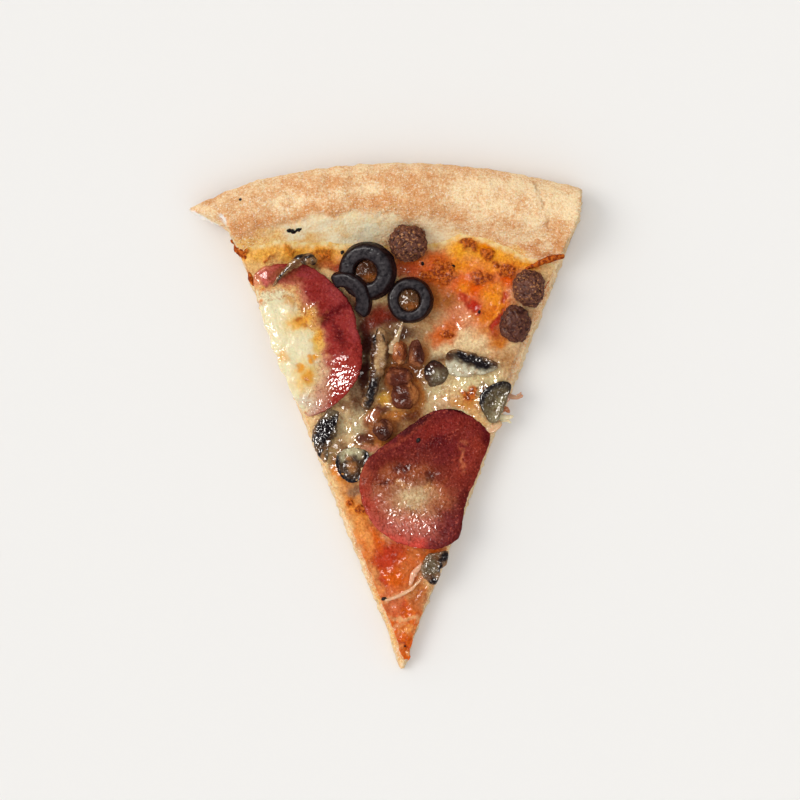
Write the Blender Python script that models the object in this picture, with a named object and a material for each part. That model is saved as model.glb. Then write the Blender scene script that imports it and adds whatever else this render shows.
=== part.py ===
"""One slice of a round pizza: a risen crust, a thin base, tomato sauce, melted cheese and toppings.

The slice lies on its base with its topping up, its tip towards -Y and its crust towards +Y. Places in
plan are given in metres from the tip. Each piece starts from a flat grid, a turned section or a ball,
and height functions lay one piece on the next. One empty carries the slice, so that the origin is the
middle of its underside.
"""

import math

import bmesh
import bpy
from mathutils import Matrix, Vector, noise

# The whole slice
REACH = 0.174  # tip to the middle of the crust's outer edge
HALF_ANGLE = math.radians(21.3)  # each cut edge from the middle line
GAP = 0.0003  # between pieces that lie on each other

# The dough
TIP_RADIUS = 0.0018
TIP_THICKNESS = 0.004
BASE_THICKNESS = 0.0055
BASE_ROLL = 0.0004  # how far the base rises and falls
CRUST_HEIGHT = 0.0165
CRUST_FOOT = 0.144  # where the crust starts to rise
CRUST_CREST = 0.161
CRUST_BULGE = 0.0075  # height of the crust's widest line
CRUST_SHOULDER = 0.166  # where the underside turns up
CORNER_SPREAD = 0.012  # how much farther out the crust's two ends reach, as a share
CREST_WAVE = 0.05  # how much the crest rises and falls, as a share of its height
OUTLINE_WAVE = 0.0004  # how far the outer edge and the cuts wander
TORN_ANGLE = math.radians(3.2)  # the strip of outer crust left hanging at the left end
SKIRT = 0.0008  # the cut faces lean out towards the bottom
STEEP_STEP = 0.0025  # between points of the section where the crust rises
FLAT_STEP = 0.007  # and on the flat base

# The layers on it
LAYERS_START = 0.010  # the tip is bare
LAYERS_END = 0.1495  # a little way up the crust
SAUCE_INSET = 0.0012  # from the cut edges
CHEESE_INSET = 0.0015
SAUCE_THICKNESS = 0.001
CHEESE_THICKNESS = 0.0018
CHEESE_ROLL = 0.0005
SALAMI_THICKNESS = 0.0018
FILM_THICKNESS = 0.0011  # melted cheese lying on the salami

# The salami: middle and radius of each slice as it was before the pizza was cut
LEFT_SALAMI = Vector((-0.040, 0.112))
LEFT_SALAMI_RADIUS = 0.0265
RIGHT_SALAMI = Vector((0.0095, 0.0655))
RIGHT_SALAMI_RADIUS = 0.024
CURL_TURN = math.radians(140)  # the side of the right salami that curls up
CURL_HEIGHT = 0.0032

FINISHES = {  # linear colour, roughness
    "dough": ((0.72, 0.45, 0.22), 0.8),
    "tomato": ((0.50, 0.07, 0.02), 0.4),
    "cheese": ((0.76, 0.45, 0.14), 0.4),
    "melted": ((0.80, 0.68, 0.42), 0.35),
    "salami": ((0.25, 0.04, 0.03), 0.35),
    "olive": ((0.02, 0.015, 0.015), 0.3),
    "meat": ((0.11, 0.05, 0.03), 0.6),
    "mushroom": ((0.16, 0.12, 0.08), 0.5),
}


def ease(start, end, value):
    """0 before start, 1 after end, smooth between them."""
    share = min(max((value - start) / (end - start), 0.0), 1.0)
    return share * share * (3 - 2 * share)


def roll(x, y):
    """A slow wave over the slice, from -1 to 1."""
    return 0.6 * math.sin(70 * x + 30 * y) + 0.4 * math.cos(110 * y - 45 * x)


def dough_top(x, y):
    """Height of the dough's upper face, from the tip to the crest of the crust."""
    reach = math.hypot(x, y)
    base = TIP_THICKNESS + (BASE_THICKNESS - TIP_THICKNESS) * ease(0, 0.06, reach)
    base += BASE_ROLL * roll(x, y)
    return base + (CRUST_HEIGHT - base) * ease(CRUST_FOOT, CRUST_CREST, reach)


def sauce_top(x, y):
    return dough_top(x, y) + GAP + SAUCE_THICKNESS


def cheese_top(x, y):
    swell = CHEESE_ROLL * math.sin(150 * x - 40 * y) * math.cos(120 * y + 1)
    return sauce_top(x, y) + GAP + CHEESE_THICKNESS * ease(-0.03, 0.03, math.hypot(x, y)) + swell


def left_salami_top(x, y):
    return cheese_top(x, y) + GAP + SALAMI_THICKNESS


def right_salami_base(x, y):
    """Underside of the right salami: flat on the cheese, but for the edge that curls up."""
    away = Vector((x, y)) - RIGHT_SALAMI
    towards_curl = away.x * math.cos(CURL_TURN) + away.y * math.sin(CURL_TURN)
    return cheese_top(x, y) + GAP + CURL_HEIGHT * ease(0.004, 0.02, towards_curl)


def right_salami_top(x, y):
    return right_salami_base(x, y) + SALAMI_THICKNESS


def raised(height_of, by=GAP):
    """The same height function, lifted."""
    return lambda x, y: height_of(x, y) + by


def finish(name):
    """The material of one kind of piece, made the first time it is asked for."""
    found = bpy.data.materials.get(name)
    if found:
        return found
    colour, roughness = FINISHES[name]
    made = bpy.data.materials.new(name)
    made.use_nodes = True
    shader = made.node_tree.nodes["Principled BSDF"]
    shader.inputs["Base Color"].default_value = (*colour, 1)
    shader.inputs["Roughness"].default_value = roughness
    shader.inputs["Metallic"].default_value = 0
    return made


def piece(name, bm, finish_name, carrier):
    """A named object of the finished bmesh, carried by the slice's empty."""
    bmesh.ops.recalc_face_normals(bm, faces=bm.faces)
    mesh = bpy.data.meshes.new(name)
    bm.to_mesh(mesh)
    bm.free()
    mesh.materials.append(finish(finish_name))
    mesh.shade_smooth()
    mesh.set_sharp_from_angle(angle=math.radians(50))
    made = bpy.data.objects.new(name, mesh)
    bpy.context.scene.collection.objects.link(made)
    made.parent = carrier
    return made


def thicken(bm, bottom, top):
    """Turns a flat plan into a solid between two height functions."""
    lower = bm.verts[:]
    grown = bmesh.ops.extrude_face_region(bm, geom=bm.faces[:])["geom"]
    upper = [item for item in grown if isinstance(item, bmesh.types.BMVert)]
    for verts, height_of in ((lower, bottom), (upper, top)):
        for vert in verts:
            vert.co.z = height_of(vert.co.x, vert.co.y)
    return bm


def grid(along, across, place):
    """A flat grid of along by across faces, each vertex moved to place(share along, share across)."""
    bm = bmesh.new()
    bmesh.ops.create_grid(bm, x_segments=along, y_segments=across, size=0.5)
    for vert in bm.verts:
        vert.co = (*place(vert.co.x + 0.5, vert.co.y + 0.5), 0)
    return bm


def sector(inset, rings, spokes):
    """Plan of a layer, set back from both cut edges, with rings that lie closer towards the crust."""

    def place(out, round_):
        reach = LAYERS_START + (LAYERS_END - LAYERS_START) * (1 - (1 - out) ** 1.5)
        turn = (2 * round_ - 1) * (HALF_ANGLE - inset / reach)
        return reach * math.sin(turn), reach * math.cos(turn)

    return grid(rings, spokes, place)


def disc(centre, reach_of, rings, spokes):
    """Plan of a round piece whose edge is reach_of(turn) from the centre."""

    def place(out, round_):
        turn = 2 * math.pi * round_
        reach = reach_of(turn) * out
        return centre[0] + reach * math.cos(turn), centre[1] + reach * math.sin(turn)

    bm = grid(rings, spokes, place)
    bmesh.ops.remove_doubles(bm, verts=bm.verts, dist=1e-6)
    return bm


def bent_strip(start, bend, end, half_width_of, steps, across=4):
    """Plan of a strip whose middle line runs from start to end, pulled towards bend."""
    start, bend, end = Vector(start), Vector(bend), Vector(end)

    def place(share, side):
        middle = start.lerp(bend, share).lerp(bend.lerp(end, share), share)
        along = (bend - start).lerp(end - bend, share).normalized()
        return middle + Vector((-along.y, along.x)) * half_width_of(share) * (2 * side - 1)

    return grid(steps, across, place)


def oval(long_half, short_half, lean=0.0, wobble=0.0):
    """Edge distance of an oval whose long axis is turned by lean, a little uneven."""

    def reach_of(turn):
        local = turn - lean
        even = 1 / math.hypot(math.cos(local) / long_half, math.sin(local) / short_half)
        return even * (1 + wobble * math.sin(3 * turn + 1))

    return reach_of


def cut_disc(centre, disc_centre, radius_of, side, overhang=0.0):
    """Edge distance, from a centre inside it, of a disc cut off along one cut edge of the slice.

    side is -1 for the left cut and 1 for the right one. radius_of gives the disc's radius by turn.
    """
    outward = Vector((side * math.cos(HALF_ANGLE), -math.sin(HALF_ANGLE)))
    to_cut = overhang - outward.dot(centre)

    def reach_of(turn):
        ray = Vector((math.cos(turn), math.sin(turn)))
        away = centre - disc_centre
        along = ray.dot(away)
        to_circle = 0.02
        for _ in range(4):
            edge = away + ray * to_circle
            radius = radius_of(math.atan2(edge.y, edge.x))
            to_circle = -along + math.sqrt(along * along - away.length_squared + radius * radius)
        towards_cut = ray.dot(outward)
        return min(to_circle, to_cut / towards_cut) if towards_cut > 0 else to_circle

    return reach_of


def crust_section():
    """(reach, height) of the dough's section, from the tip along the underside and back over the top."""
    section = [(TIP_RADIUS, 0), (CRUST_FOOT / 3, 0), (CRUST_FOOT * 2 / 3, 0), (CRUST_FOOT, 0)]
    quarters = (  # middle of each quarter of an ellipse, its two radii, its first angle and steps
        (CRUST_SHOULDER, REACH - CRUST_SHOULDER, CRUST_BULGE, -90, 5),
        (CRUST_CREST, REACH - CRUST_CREST, CRUST_HEIGHT - CRUST_BULGE, 0, 6),
    )
    for middle, wide, high, first, steps in quarters:
        for step in range(steps):
            turn = math.radians(first + 90 * step / steps)
            section.append((middle + wide * math.cos(turn), CRUST_BULGE + high * math.sin(turn)))
    reach = CRUST_CREST
    while reach > 2 * FLAT_STEP:
        section.append((reach, dough_top(0, reach)))
        reach -= STEEP_STEP if reach > CRUST_FOOT else FLAT_STEP
    section.append((TIP_RADIUS, dough_top(0, TIP_RADIUS)))
    return section


def divide_cut_face(bm, face):
    """Gives the crust's end of a cut face a middle point, so that what is torn there stays local."""
    at_foot = sorted(face.verts, key=lambda vert: abs(math.hypot(vert.co.x, vert.co.y) - CRUST_FOOT))
    lower = next(vert for vert in at_foot if vert.co.z == 0)
    upper = next(vert for vert in at_foot if vert.co.z > TIP_THICKNESS / 2)
    halves = [face, bmesh.utils.face_split(face, lower, upper)[0]]
    crust_end = max(halves, key=lambda half: half.calc_center_median().xy.length)
    bmesh.ops.poke(bm, faces=[crust_end])


def dough(carrier):
    """The baked dough: its section turned about the tip, then made as uneven as a hand-stretched one."""
    bm = bmesh.new()
    left = Vector((-math.sin(HALF_ANGLE), math.cos(HALF_ANGLE)))
    verts = [bm.verts.new((*(left * reach), height)) for reach, height in crust_section()]
    face = bm.faces.new(verts)
    bmesh.ops.spin(bm, geom=[face, *face.edges, *verts], axis=(0, 0, 1), cent=(0, 0, 0),
                   angle=-2 * HALF_ANGLE, steps=18)
    for cut_face in [face for face in bm.faces if len(face.verts) > 4]:
        divide_cut_face(bm, cut_face)
    for vert in bm.verts:
        vert.co = bake(*vert.co)
    return piece("dough", bm, "dough", carrier)


def bake(x, y, z):
    """Where a point of the even, turned dough ends up in the uneven baked one."""
    reach, turn = math.hypot(x, y), math.atan2(x, y)
    side = turn / HALF_ANGLE  # -1 on the left cut, 1 on the right one
    inside_crest = reach < CRUST_CREST + GAP
    in_cut_face = CRUST_FOOT < reach and abs(z - dough_top(0, reach)) > GAP
    if z > TIP_THICKNESS / 2 and inside_crest and not in_cut_face:
        z = dough_top(x, y)
    in_crust = ease(CRUST_FOOT, CRUST_CREST, reach)
    z *= 1 + CREST_WAVE * in_crust * math.sin(3.5 * side + 0.6) * math.cos(9 * side)
    torn = ease(CRUST_SHOULDER, REACH, reach) * ease(0.8, 1, -side)
    turn -= TORN_ANGLE * torn
    reach *= 1 + CORNER_SPREAD * side * side * in_crust
    reach += OUTLINE_WAVE * in_crust * math.sin(13 * side + 2)
    lean = SKIRT * (1 - ease(0, BASE_THICKNESS, z)) * ease(0.95, 1, abs(side))
    wave = OUTLINE_WAVE * math.sin(190 * reach + side) * ease(0.01, 0.03, reach) * (1 - torn)
    return reach * math.sin(turn) + math.copysign(lean, side) + wave, reach * math.cos(turn), z


def tomato_sauce(carrier):
    """The sauce, a thin layer right through the slice."""
    plan = sector(SAUCE_INSET, rings=30, spokes=6)
    return piece("tomato_sauce", thicken(plan, raised(dough_top), sauce_top), "tomato", carrier)


def cheese(carrier):
    """The melted cheese that covers the sauce, right through the slice."""
    plan = sector(CHEESE_INSET, rings=30, spokes=10)
    return piece("cheese", thicken(plan, raised(sauce_top), cheese_top), "cheese", carrier)


def left_salami(carrier):
    """The salami slice that the left cut went through."""
    centre = Vector((-0.030, 0.112))
    edge = cut_disc(centre, LEFT_SALAMI, lambda turn: LEFT_SALAMI_RADIUS, side=-1)
    plan = disc(centre, edge, rings=4, spokes=36)
    return piece("salami_left", thicken(plan, raised(cheese_top), left_salami_top), "salami", carrier)


def left_film(carrier):
    """Melted cheese on the left salami, along the cut edge."""
    centre = Vector((-0.0375, 0.1095))
    outward = Vector((-math.cos(HALF_ANGLE), -math.sin(HALF_ANGLE)))
    to_cut = -0.0006 - outward.dot(centre)
    free_edge = oval(0.0205, 0.0085, lean=math.radians(112), wobble=0.05)

    def edge(turn):
        towards_cut = math.cos(turn) * outward.x + math.sin(turn) * outward.y
        return min(free_edge(turn), to_cut / towards_cut) if towards_cut > 0 else free_edge(turn)

    plan = disc(centre, edge, rings=3, spokes=28)
    top = raised(left_salami_top, GAP + FILM_THICKNESS)
    return piece("melted_cheese_left", thicken(plan, raised(left_salami_top), top), "melted", carrier)


def right_salami_radius(turn):
    """Radius of the right salami, less where it curls up and is seen on edge."""
    apart = abs((turn - CURL_TURN + math.pi) % (2 * math.pi) - math.pi)
    return RIGHT_SALAMI_RADIUS - 0.0055 * (1 - ease(0, 0.75, apart))


def right_salami(carrier):
    """The salami slice near the tip, cut off by the right cut and hanging a little over it."""
    centre = Vector((0.0065, 0.0655))
    edge = cut_disc(centre, RIGHT_SALAMI, right_salami_radius, side=1, overhang=0.0012)
    plan = disc(centre, edge, rings=5, spokes=32)
    return piece("salami_right", thicken(plan, right_salami_base, right_salami_top), "salami", carrier)


def right_film(carrier):
    """Browned melted cheese lying in the middle of the right salami."""
    plan = disc((0.003, 0.062), oval(0.013, 0.0095, lean=0.35, wobble=0.08), rings=3, spokes=24)
    top = raised(right_salami_top, GAP + FILM_THICKNESS)
    return piece("melted_cheese_right", thicken(plan, raised(right_salami_top), top), "melted", carrier)


def olive_section(hole, outer, half_height, rounding):
    """Points of a ring's section, going once round it."""
    soft = 2 * rounding
    upper = [(outer, half_height - soft), (outer - soft, half_height),
             (hole + rounding, half_height), (hole, half_height - rounding)]
    return [(reach, -height) for reach, height in reversed(upper)] + upper


def olive_ring(name, middle, radius, height, carrier, tilt=0.0, towards=0.0, sink=0.002,
               stretch=1.0, arc=None, margin=0.0):
    """A slice of a pitted olive, tilted towards one side and settled into the cheese.

    arc gives the start and sweep of a broken ring. margin makes it larger all round, as a cutter.
    """
    bm = bmesh.new()
    section = olive_section(radius * 0.5 - margin, radius + margin, height / 2 + margin, 0.0006)
    verts = [bm.verts.new((reach, 0, z)) for reach, z in section]
    if arc:
        start, sweep = arc
        face = bm.faces.new(verts)
        bmesh.ops.spin(bm, geom=[face, *face.edges, *verts], axis=(0, 0, 1), cent=(0, 0, 0),
                       angle=sweep, steps=14)
        bmesh.ops.rotate(bm, verts=bm.verts, cent=(0, 0, 0), matrix=Matrix.Rotation(start, 3, "Z"))
    else:
        edges = [bm.edges.new((verts[i - 1], verts[i])) for i in range(len(verts))]
        bmesh.ops.spin(bm, geom=[*edges, *verts], axis=(0, 0, 1), cent=(0, 0, 0),
                       angle=2 * math.pi, steps=20, use_merge=True)
    lean = Vector((math.cos(towards), math.sin(towards), 0))
    turn = Matrix.Rotation(tilt, 4, Vector((0, 0, 1)).cross(lean))
    x, y = middle
    lift = height / 2 * math.cos(tilt) + radius * math.sin(tilt) - sink
    place = Matrix.Translation((x, y, cheese_top(x, y) + GAP + lift))
    bmesh.ops.transform(bm, verts=bm.verts, matrix=place @ turn @ Matrix.Diagonal((1, stretch, 1, 1)))
    settle(bm, cheese_top)
    return piece(name, bm, "olive", carrier)


def settle(bm, bed, gap=GAP):
    """Flattens what would reach into the bed that the piece lies on."""
    for vert in bm.verts:
        vert.co.z = max(vert.co.z, bed(vert.co.x, vert.co.y) + gap)


def make_cutter(cutter, cut):
    """Keeps one piece clear of another: cutter's shape is taken out of cut."""
    cutter.hide_render = True
    cutter.display_type = "WIRE"
    boolean = cut.modifiers.new("room_for_neighbour", "BOOLEAN")
    boolean.operation = "DIFFERENCE"
    boolean.solver = "EXACT"
    boolean.object = cutter


def olives(carrier):
    """Two whole rings, a broken one between them, and two slices half under the cheese."""
    large = olive_ring("olive_1", (-0.0117, 0.1369), 0.0093, 0.0055, carrier,
                       tilt=math.radians(18), towards=math.radians(207), sink=0.0024)
    broken = dict(middle=(-0.020, 0.1265), radius=0.0094, height=0.0048, carrier=carrier,
                  arc=(math.radians(-35), math.radians(140)), tilt=math.radians(8),
                  towards=math.radians(250), sink=0.0008)
    olive_ring("olive_2", **broken)
    make_cutter(olive_ring("room_for_olive_2", **broken, margin=GAP), large)
    olive_ring("olive_3", (0.0033, 0.1266), 0.0076, 0.0046, carrier,
               tilt=math.radians(10), towards=math.radians(20), sink=0.001)
    olive_ring("olive_4", (-0.0174, 0.0718), 0.005, 0.004, carrier,
               tilt=math.radians(8), towards=math.radians(100), sink=0.0012, stretch=1.32)
    edge_slice = disc((0.0318, 0.0912), oval(0.0078, 0.0052, lean=math.radians(105)), rings=4, spokes=20)
    thicken(edge_slice, raised(cheese_top), raised(cheese_top, GAP + 0.0032))
    piece("olive_5", edge_slice, "olive", carrier)


def lump(name, middle, half_sizes, carrier, fineness, rise=0.4):
    """A crumbly ball of meat, flattened where it lies. rise is how far its middle stands over the bed."""
    bm = bmesh.new()
    bmesh.ops.create_icosphere(bm, subdivisions=fineness, radius=1)
    x, y = middle
    height = cheese_top(x, y) + half_sizes[2] * rise
    for vert in bm.verts:
        uneven = 1 + 0.07 * noise.noise(vert.co * 1.7 + Vector((x, y, 0)) * 400)
        vert.co = [place + half * part * uneven
                   for place, half, part in zip((x, y, height), half_sizes, vert.co)]
    settle(bm, cheese_top, gap=GAP + 0.0001)
    return piece(name, bm, "meat", carrier)


def meatballs(carrier):
    """Three bare meatballs by the crust, and smaller ones glazed with cheese in the middle."""
    bare = (
        ((0.0032, 0.1462), (0.0066, 0.0066, 0.0055)),
        ((0.0441, 0.1313), (0.0050, 0.0056, 0.0055)),
        ((0.0392, 0.1186), (0.0048, 0.0060, 0.0052)),
    )
    glazed = (
        ((-0.0021, 0.1088), (0.0029, 0.0029, 0.0032)),
        ((0.0045, 0.1080), (0.0032, 0.0034, 0.0036)),
        ((-0.0015, 0.0993), (0.0040, 0.0040, 0.0038)),
        ((0.0020, 0.0909), (0.0037, 0.0037, 0.0036)),
        ((-0.0086, 0.0820), (0.0038, 0.0038, 0.0036)),
    )
    for number, (middle, half_sizes) in enumerate(bare + glazed, start=1):
        fineness = 3 if number <= len(bare) else 2
        lump(f"meatball_{number}", middle, half_sizes, carrier, fineness)


def mushrooms(carrier):
    """Slices of mushroom: stems as bent strips, caps as ovals."""
    stem = bent_strip((-0.0445, 0.1315), (-0.0425, 0.1385), (-0.0315, 0.1405),
                      lambda share: 0.0011 + 0.0012 * ease(0.6, 1, share), steps=10)
    blade = bent_strip((-0.0085, 0.1195), (-0.0108, 0.107), (-0.0108, 0.089),
                       lambda share: 0.0024 - 0.0006 * ease(0.1, 0.9, share), steps=14)
    gills = bent_strip((-0.0232, 0.0855), (-0.0286, 0.080), (-0.0262, 0.0705),
                       lambda share: 0.0034 - 0.0016 * ease(0.4, 1, share), steps=10)
    tip_slice = bent_strip((0.0142, 0.0392), (0.0104, 0.0365), (0.0090, 0.0295),
                           lambda share: 0.0022 + 0.0008 * math.sin(math.pi * share), steps=8)
    cap = disc((0.0232, 0.1045), oval(0.0086, 0.0043, lean=math.radians(-18)), rings=3, spokes=20)
    dome = disc((0.0113, 0.1022), oval(0.0042, 0.0036), rings=3, spokes=14)
    slices = (
        (stem, left_salami_top, 0.0022),
        (blade, cheese_top, 0.0026),
        (gills, cheese_top, 0.0022),
        (tip_slice, cheese_top, 0.0020),
        (cap, cheese_top, 0.0028),
        (dome, cheese_top, 0.0030),
    )
    for number, (plan, bed, thickness) in enumerate(slices, start=1):
        solid = thicken(plan, raised(bed), raised(bed, GAP + thickness))
        piece(f"mushroom_{number}", solid, "mushroom", carrier)


def centre_on_base(carrier):
    """Moves the slice so that the origin is the middle of its bounding box, at the underside."""
    corners = [vert.co for child in carrier.children if not child.hide_render
               for vert in child.data.vertices]
    for axis in (0, 1):
        along = [corner[axis] for corner in corners]
        carrier.location[axis] = -(min(along) + max(along)) / 2


for old in list(bpy.data.objects):
    bpy.data.objects.remove(old)
slice_carrier = bpy.data.objects.new("slice", None)
bpy.context.scene.collection.objects.link(slice_carrier)
dough(slice_carrier)
tomato_sauce(slice_carrier)
cheese(slice_carrier)
left_salami(slice_carrier)
left_film(slice_carrier)
right_salami(slice_carrier)
right_film(slice_carrier)
olives(slice_carrier)
meatballs(slice_carrier)
mushrooms(slice_carrier)
centre_on_base(slice_carrier)
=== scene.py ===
import math

import bmesh
import bpy
import numpy as np
from mathutils import Matrix, Vector, noise
from mathutils.bvhtree import BVHTree


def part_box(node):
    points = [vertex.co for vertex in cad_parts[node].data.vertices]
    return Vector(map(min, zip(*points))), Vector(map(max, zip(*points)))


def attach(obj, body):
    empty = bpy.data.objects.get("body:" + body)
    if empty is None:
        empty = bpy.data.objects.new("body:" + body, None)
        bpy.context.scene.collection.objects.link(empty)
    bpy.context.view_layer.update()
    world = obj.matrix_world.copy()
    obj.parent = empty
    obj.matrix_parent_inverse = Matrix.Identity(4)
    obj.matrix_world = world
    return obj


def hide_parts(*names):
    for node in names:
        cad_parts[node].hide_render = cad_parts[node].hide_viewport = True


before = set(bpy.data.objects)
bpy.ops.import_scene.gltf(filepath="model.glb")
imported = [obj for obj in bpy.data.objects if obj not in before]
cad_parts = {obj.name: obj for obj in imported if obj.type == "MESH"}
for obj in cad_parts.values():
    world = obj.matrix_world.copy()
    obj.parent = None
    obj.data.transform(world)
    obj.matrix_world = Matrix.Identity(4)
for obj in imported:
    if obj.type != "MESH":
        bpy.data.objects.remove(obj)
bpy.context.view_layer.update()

# The table and the light over it.
# A plain pale table seen from straight above, lit by a broad window on the left and by an even
# bright room. All places on the slice are millimetres from its tip, x to the right, y to the crust.
MM = 0.001
BLUNTED = 1.7  # how far before the slice's point its solids end
sauce_low, sauce_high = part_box("tomato_sauce")
dough_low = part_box("dough")[0]
tip = Vector(((sauce_low.x + sauce_high.x) / 2, dough_low.y - BLUNTED * MM, 0))


def shade(red, green, blue):
    """A linear colour from the everyday 0 to 255 values."""
    return tuple(((part / 255 + 0.055) / 1.055) ** 2.4 if part > 10 else part / 3294
                 for part in (red, green, blue))


def mesh_of(bm, name):
    """The mesh that a bmesh has been shaped into."""
    mesh = bpy.data.meshes.new(name)
    bm.to_mesh(mesh)
    bm.free()
    return mesh


def set_out(name, data):
    """Puts a mesh, a camera or a light in the scene."""
    thing = bpy.data.objects.new(name, data)
    bpy.context.scene.collection.objects.link(thing)
    return thing


bm = bmesh.new()
bmesh.ops.create_grid(bm, x_segments=1, y_segments=1, size=3)
mesh = mesh_of(bm, "table")
pale_table = bpy.data.materials.new("pale table")
pale_table.use_nodes = True
for socket, value in (("Base Color", (*shade(241, 238, 233), 1)), ("Roughness", 0.9),
                      ("Specular IOR Level", 0)):
    pale_table.node_tree.nodes["Principled BSDF"].inputs[socket].default_value = value
mesh.materials.append(pale_table)
table = set_out("table", mesh)

VIEW_WIDTH = 274.4  # millimetres across the whole view, at the height of the toppings
VIEW_MIDDLE = (-0.7, 92.6)
CAMERA_HEIGHT, TOPPINGS_HEIGHT = 1.1, 0.009
FILM_WIDTH = 36
camera_data = bpy.data.cameras.new("camera")
camera_data.sensor_width = FILM_WIDTH
camera_data.lens = FILM_WIDTH * (CAMERA_HEIGHT - TOPPINGS_HEIGHT) / (VIEW_WIDTH * MM)
camera_data.clip_start = 0.01
camera = set_out("camera", camera_data)
camera.location = (tip.x + VIEW_MIDDLE[0] * MM, tip.y + VIEW_MIDDLE[1] * MM, CAMERA_HEIGHT)
bpy.context.scene.camera = camera
bpy.context.scene.view_settings.view_transform = "Standard"

for name, strength, width, toward, shines_only in (
        ("window", 0.86, 34, (-0.64, 0.15, 0.74), False),
        ("window's reflection", 10.0, 30, (-0.60, 0.26, 0.76), True),
        ("far window's reflection", 1.6, 20, (0.40, -0.45, 0.80), True)):
    light_data = bpy.data.lights.new(name, "SUN")
    light_data.energy = strength
    light_data.angle = math.radians(width)
    light_data.color = (1.0, 0.96, 0.92)
    light = set_out(name, light_data)
    light.rotation_euler = Vector(toward).to_track_quat("Z", "Y").to_euler()
    light.visible_diffuse = not shines_only


class Value:
    """A number that varies over a surface. Arithmetic on it adds Math nodes to its net."""

    def __init__(self, net, socket):
        self.net = net
        self.socket = socket

    def _math(self, operation, first, second):
        return self.net.add("ShaderNodeMath", {"operation": operation}, {0: first, 1: second})

    def __add__(self, other):
        return self._math("ADD", self, other)

    def __sub__(self, other):
        return self._math("SUBTRACT", self, other)

    def __rsub__(self, other):
        return self._math("SUBTRACT", other, self)

    def __mul__(self, other):
        return self._math("MULTIPLY", self, other)

    __radd__ = __add__
    __rmul__ = __mul__


class Net:
    """The nodes of one material or of the room's light, added as they are needed."""

    def __init__(self, tree):
        self.tree = tree

    def add(self, kind, settings=None, sockets=None, output=0):
        """Adds a node: its settings first, then a value or a link for each of its sockets."""
        node = self.tree.nodes.new(kind)
        for setting, value in (settings or {}).items():
            setattr(node, setting, value)
        for key, value in (sockets or {}).items():
            self.give(node.inputs[key], value)
        return Value(self, node.outputs[output])

    def give(self, socket, value):
        if isinstance(value, Value):
            self.tree.links.new(value.socket, socket)
        elif socket.type == "RGBA":
            socket.default_value = (*value, 1)
        else:
            socket.default_value = value

    def step(self, value, low, high):
        """0 below low, 1 above high, smooth between them."""
        return self.add("ShaderNodeMapRange", {"interpolation_type": "SMOOTHSTEP"},
                        {"Value": value, "From Min": low, "From Max": high})


room = bpy.data.worlds.new("room")
room.use_nodes = True
sky = Net(room.node_tree)
direction = sky.add("ShaderNodeTexCoord", output="Generated")
windowward = sky.add("ShaderNodeVectorMath", {"operation": "DOT_PRODUCT"},
                     {0: direction, 1: (-0.7, -0.1, 0.7)}, "Value")
brightness = sky.step(windowward, -0.2, 1.0) * 0.36 + 0.64
background = room.node_tree.nodes["Background"]
sky.give(background.inputs["Color"], (0.965, 0.985, 1.015))
sky.give(background.inputs["Strength"], brightness)
room.cycles_visibility.glossy = False  # the walls are too dull to shine in wet food
bpy.context.scene.world = room

# The dough.
# One piece of bread dough, stretched by hand and baked: a dry, golden, blotchy crust round the
# outside, a pale open crumb where the slice was cut, and a browned underside.
CUT_LEAN = math.radians(21.3)  # each cut from the slice's middle line
CRUST_FOOT, CRUST_CREST = 144, 161


def bmesh_of(mesh):
    bm = bmesh.new()
    bm.from_mesh(mesh)
    return bm


def fine_copy(node, name, voxel, smoothing):
    """A finer mesh of one of the slice's solids: merged, rebuilt in small even faces, smoothed."""
    bm = bmesh_of(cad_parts[node].data)
    bmesh.ops.remove_doubles(bm, verts=bm.verts, dist=0.01 * MM)
    coarse = mesh_of(bm, "coarse")
    piece = set_out(name, coarse)
    remesh = piece.modifiers.new("even faces", "REMESH")
    remesh.mode = "VOXEL"
    remesh.voxel_size = voxel * MM
    graph = bpy.context.evaluated_depsgraph_get()
    even = bpy.data.meshes.new_from_object(piece.evaluated_get(graph))
    piece.modifiers.remove(remesh)
    bm = bmesh_of(even)
    for _ in range(smoothing):
        bmesh.ops.smooth_vert(bm, verts=bm.verts, factor=0.5,
                              use_axis_x=True, use_axis_y=True, use_axis_z=True)
    bm.to_mesh(coarse)
    bm.free()
    bpy.data.meshes.remove(even)
    coarse.name = name
    coarse.materials.clear()
    return piece


def columns_of(mesh, kind="co"):
    """The places or the normals of the vertices, as columns x, y and z."""
    flat = np.empty(len(mesh.vertices) * 3)
    mesh.vertices.foreach_get(kind, flat)
    return flat.reshape(-1, 3).T


def points_of(mesh):
    """Places of the vertices in millimetres from the slice's tip, as columns x, y and z."""
    return (columns_of(mesh) - np.array(tip)[:, None]) / MM


def move_to(mesh, x, y, z):
    """Puts the vertices at these places, in millimetres from the slice's tip."""
    placed = np.stack((x, y, z), axis=1) * MM + np.array(tip)
    mesh.vertices.foreach_set("co", placed.ravel())
    mesh.update()


def cloudy(x, y, z, size, octaves=3, seed=0.0):
    """Smooth uneven values of about -1 to 1, whose clouds are size millimetres across."""
    return np.array([
        2 * noise.fractal((a / size + seed, b / size, c / size), 1.0, 2.0, octaves)
        for a, b, c in zip(x, y, z)
    ])


def ease(start, end, values):
    """0 before start, 1 after end, smooth between them."""
    share = np.clip((values - start) / (end - start), 0, 1)
    return share * share * (3 - 2 * share)


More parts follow.
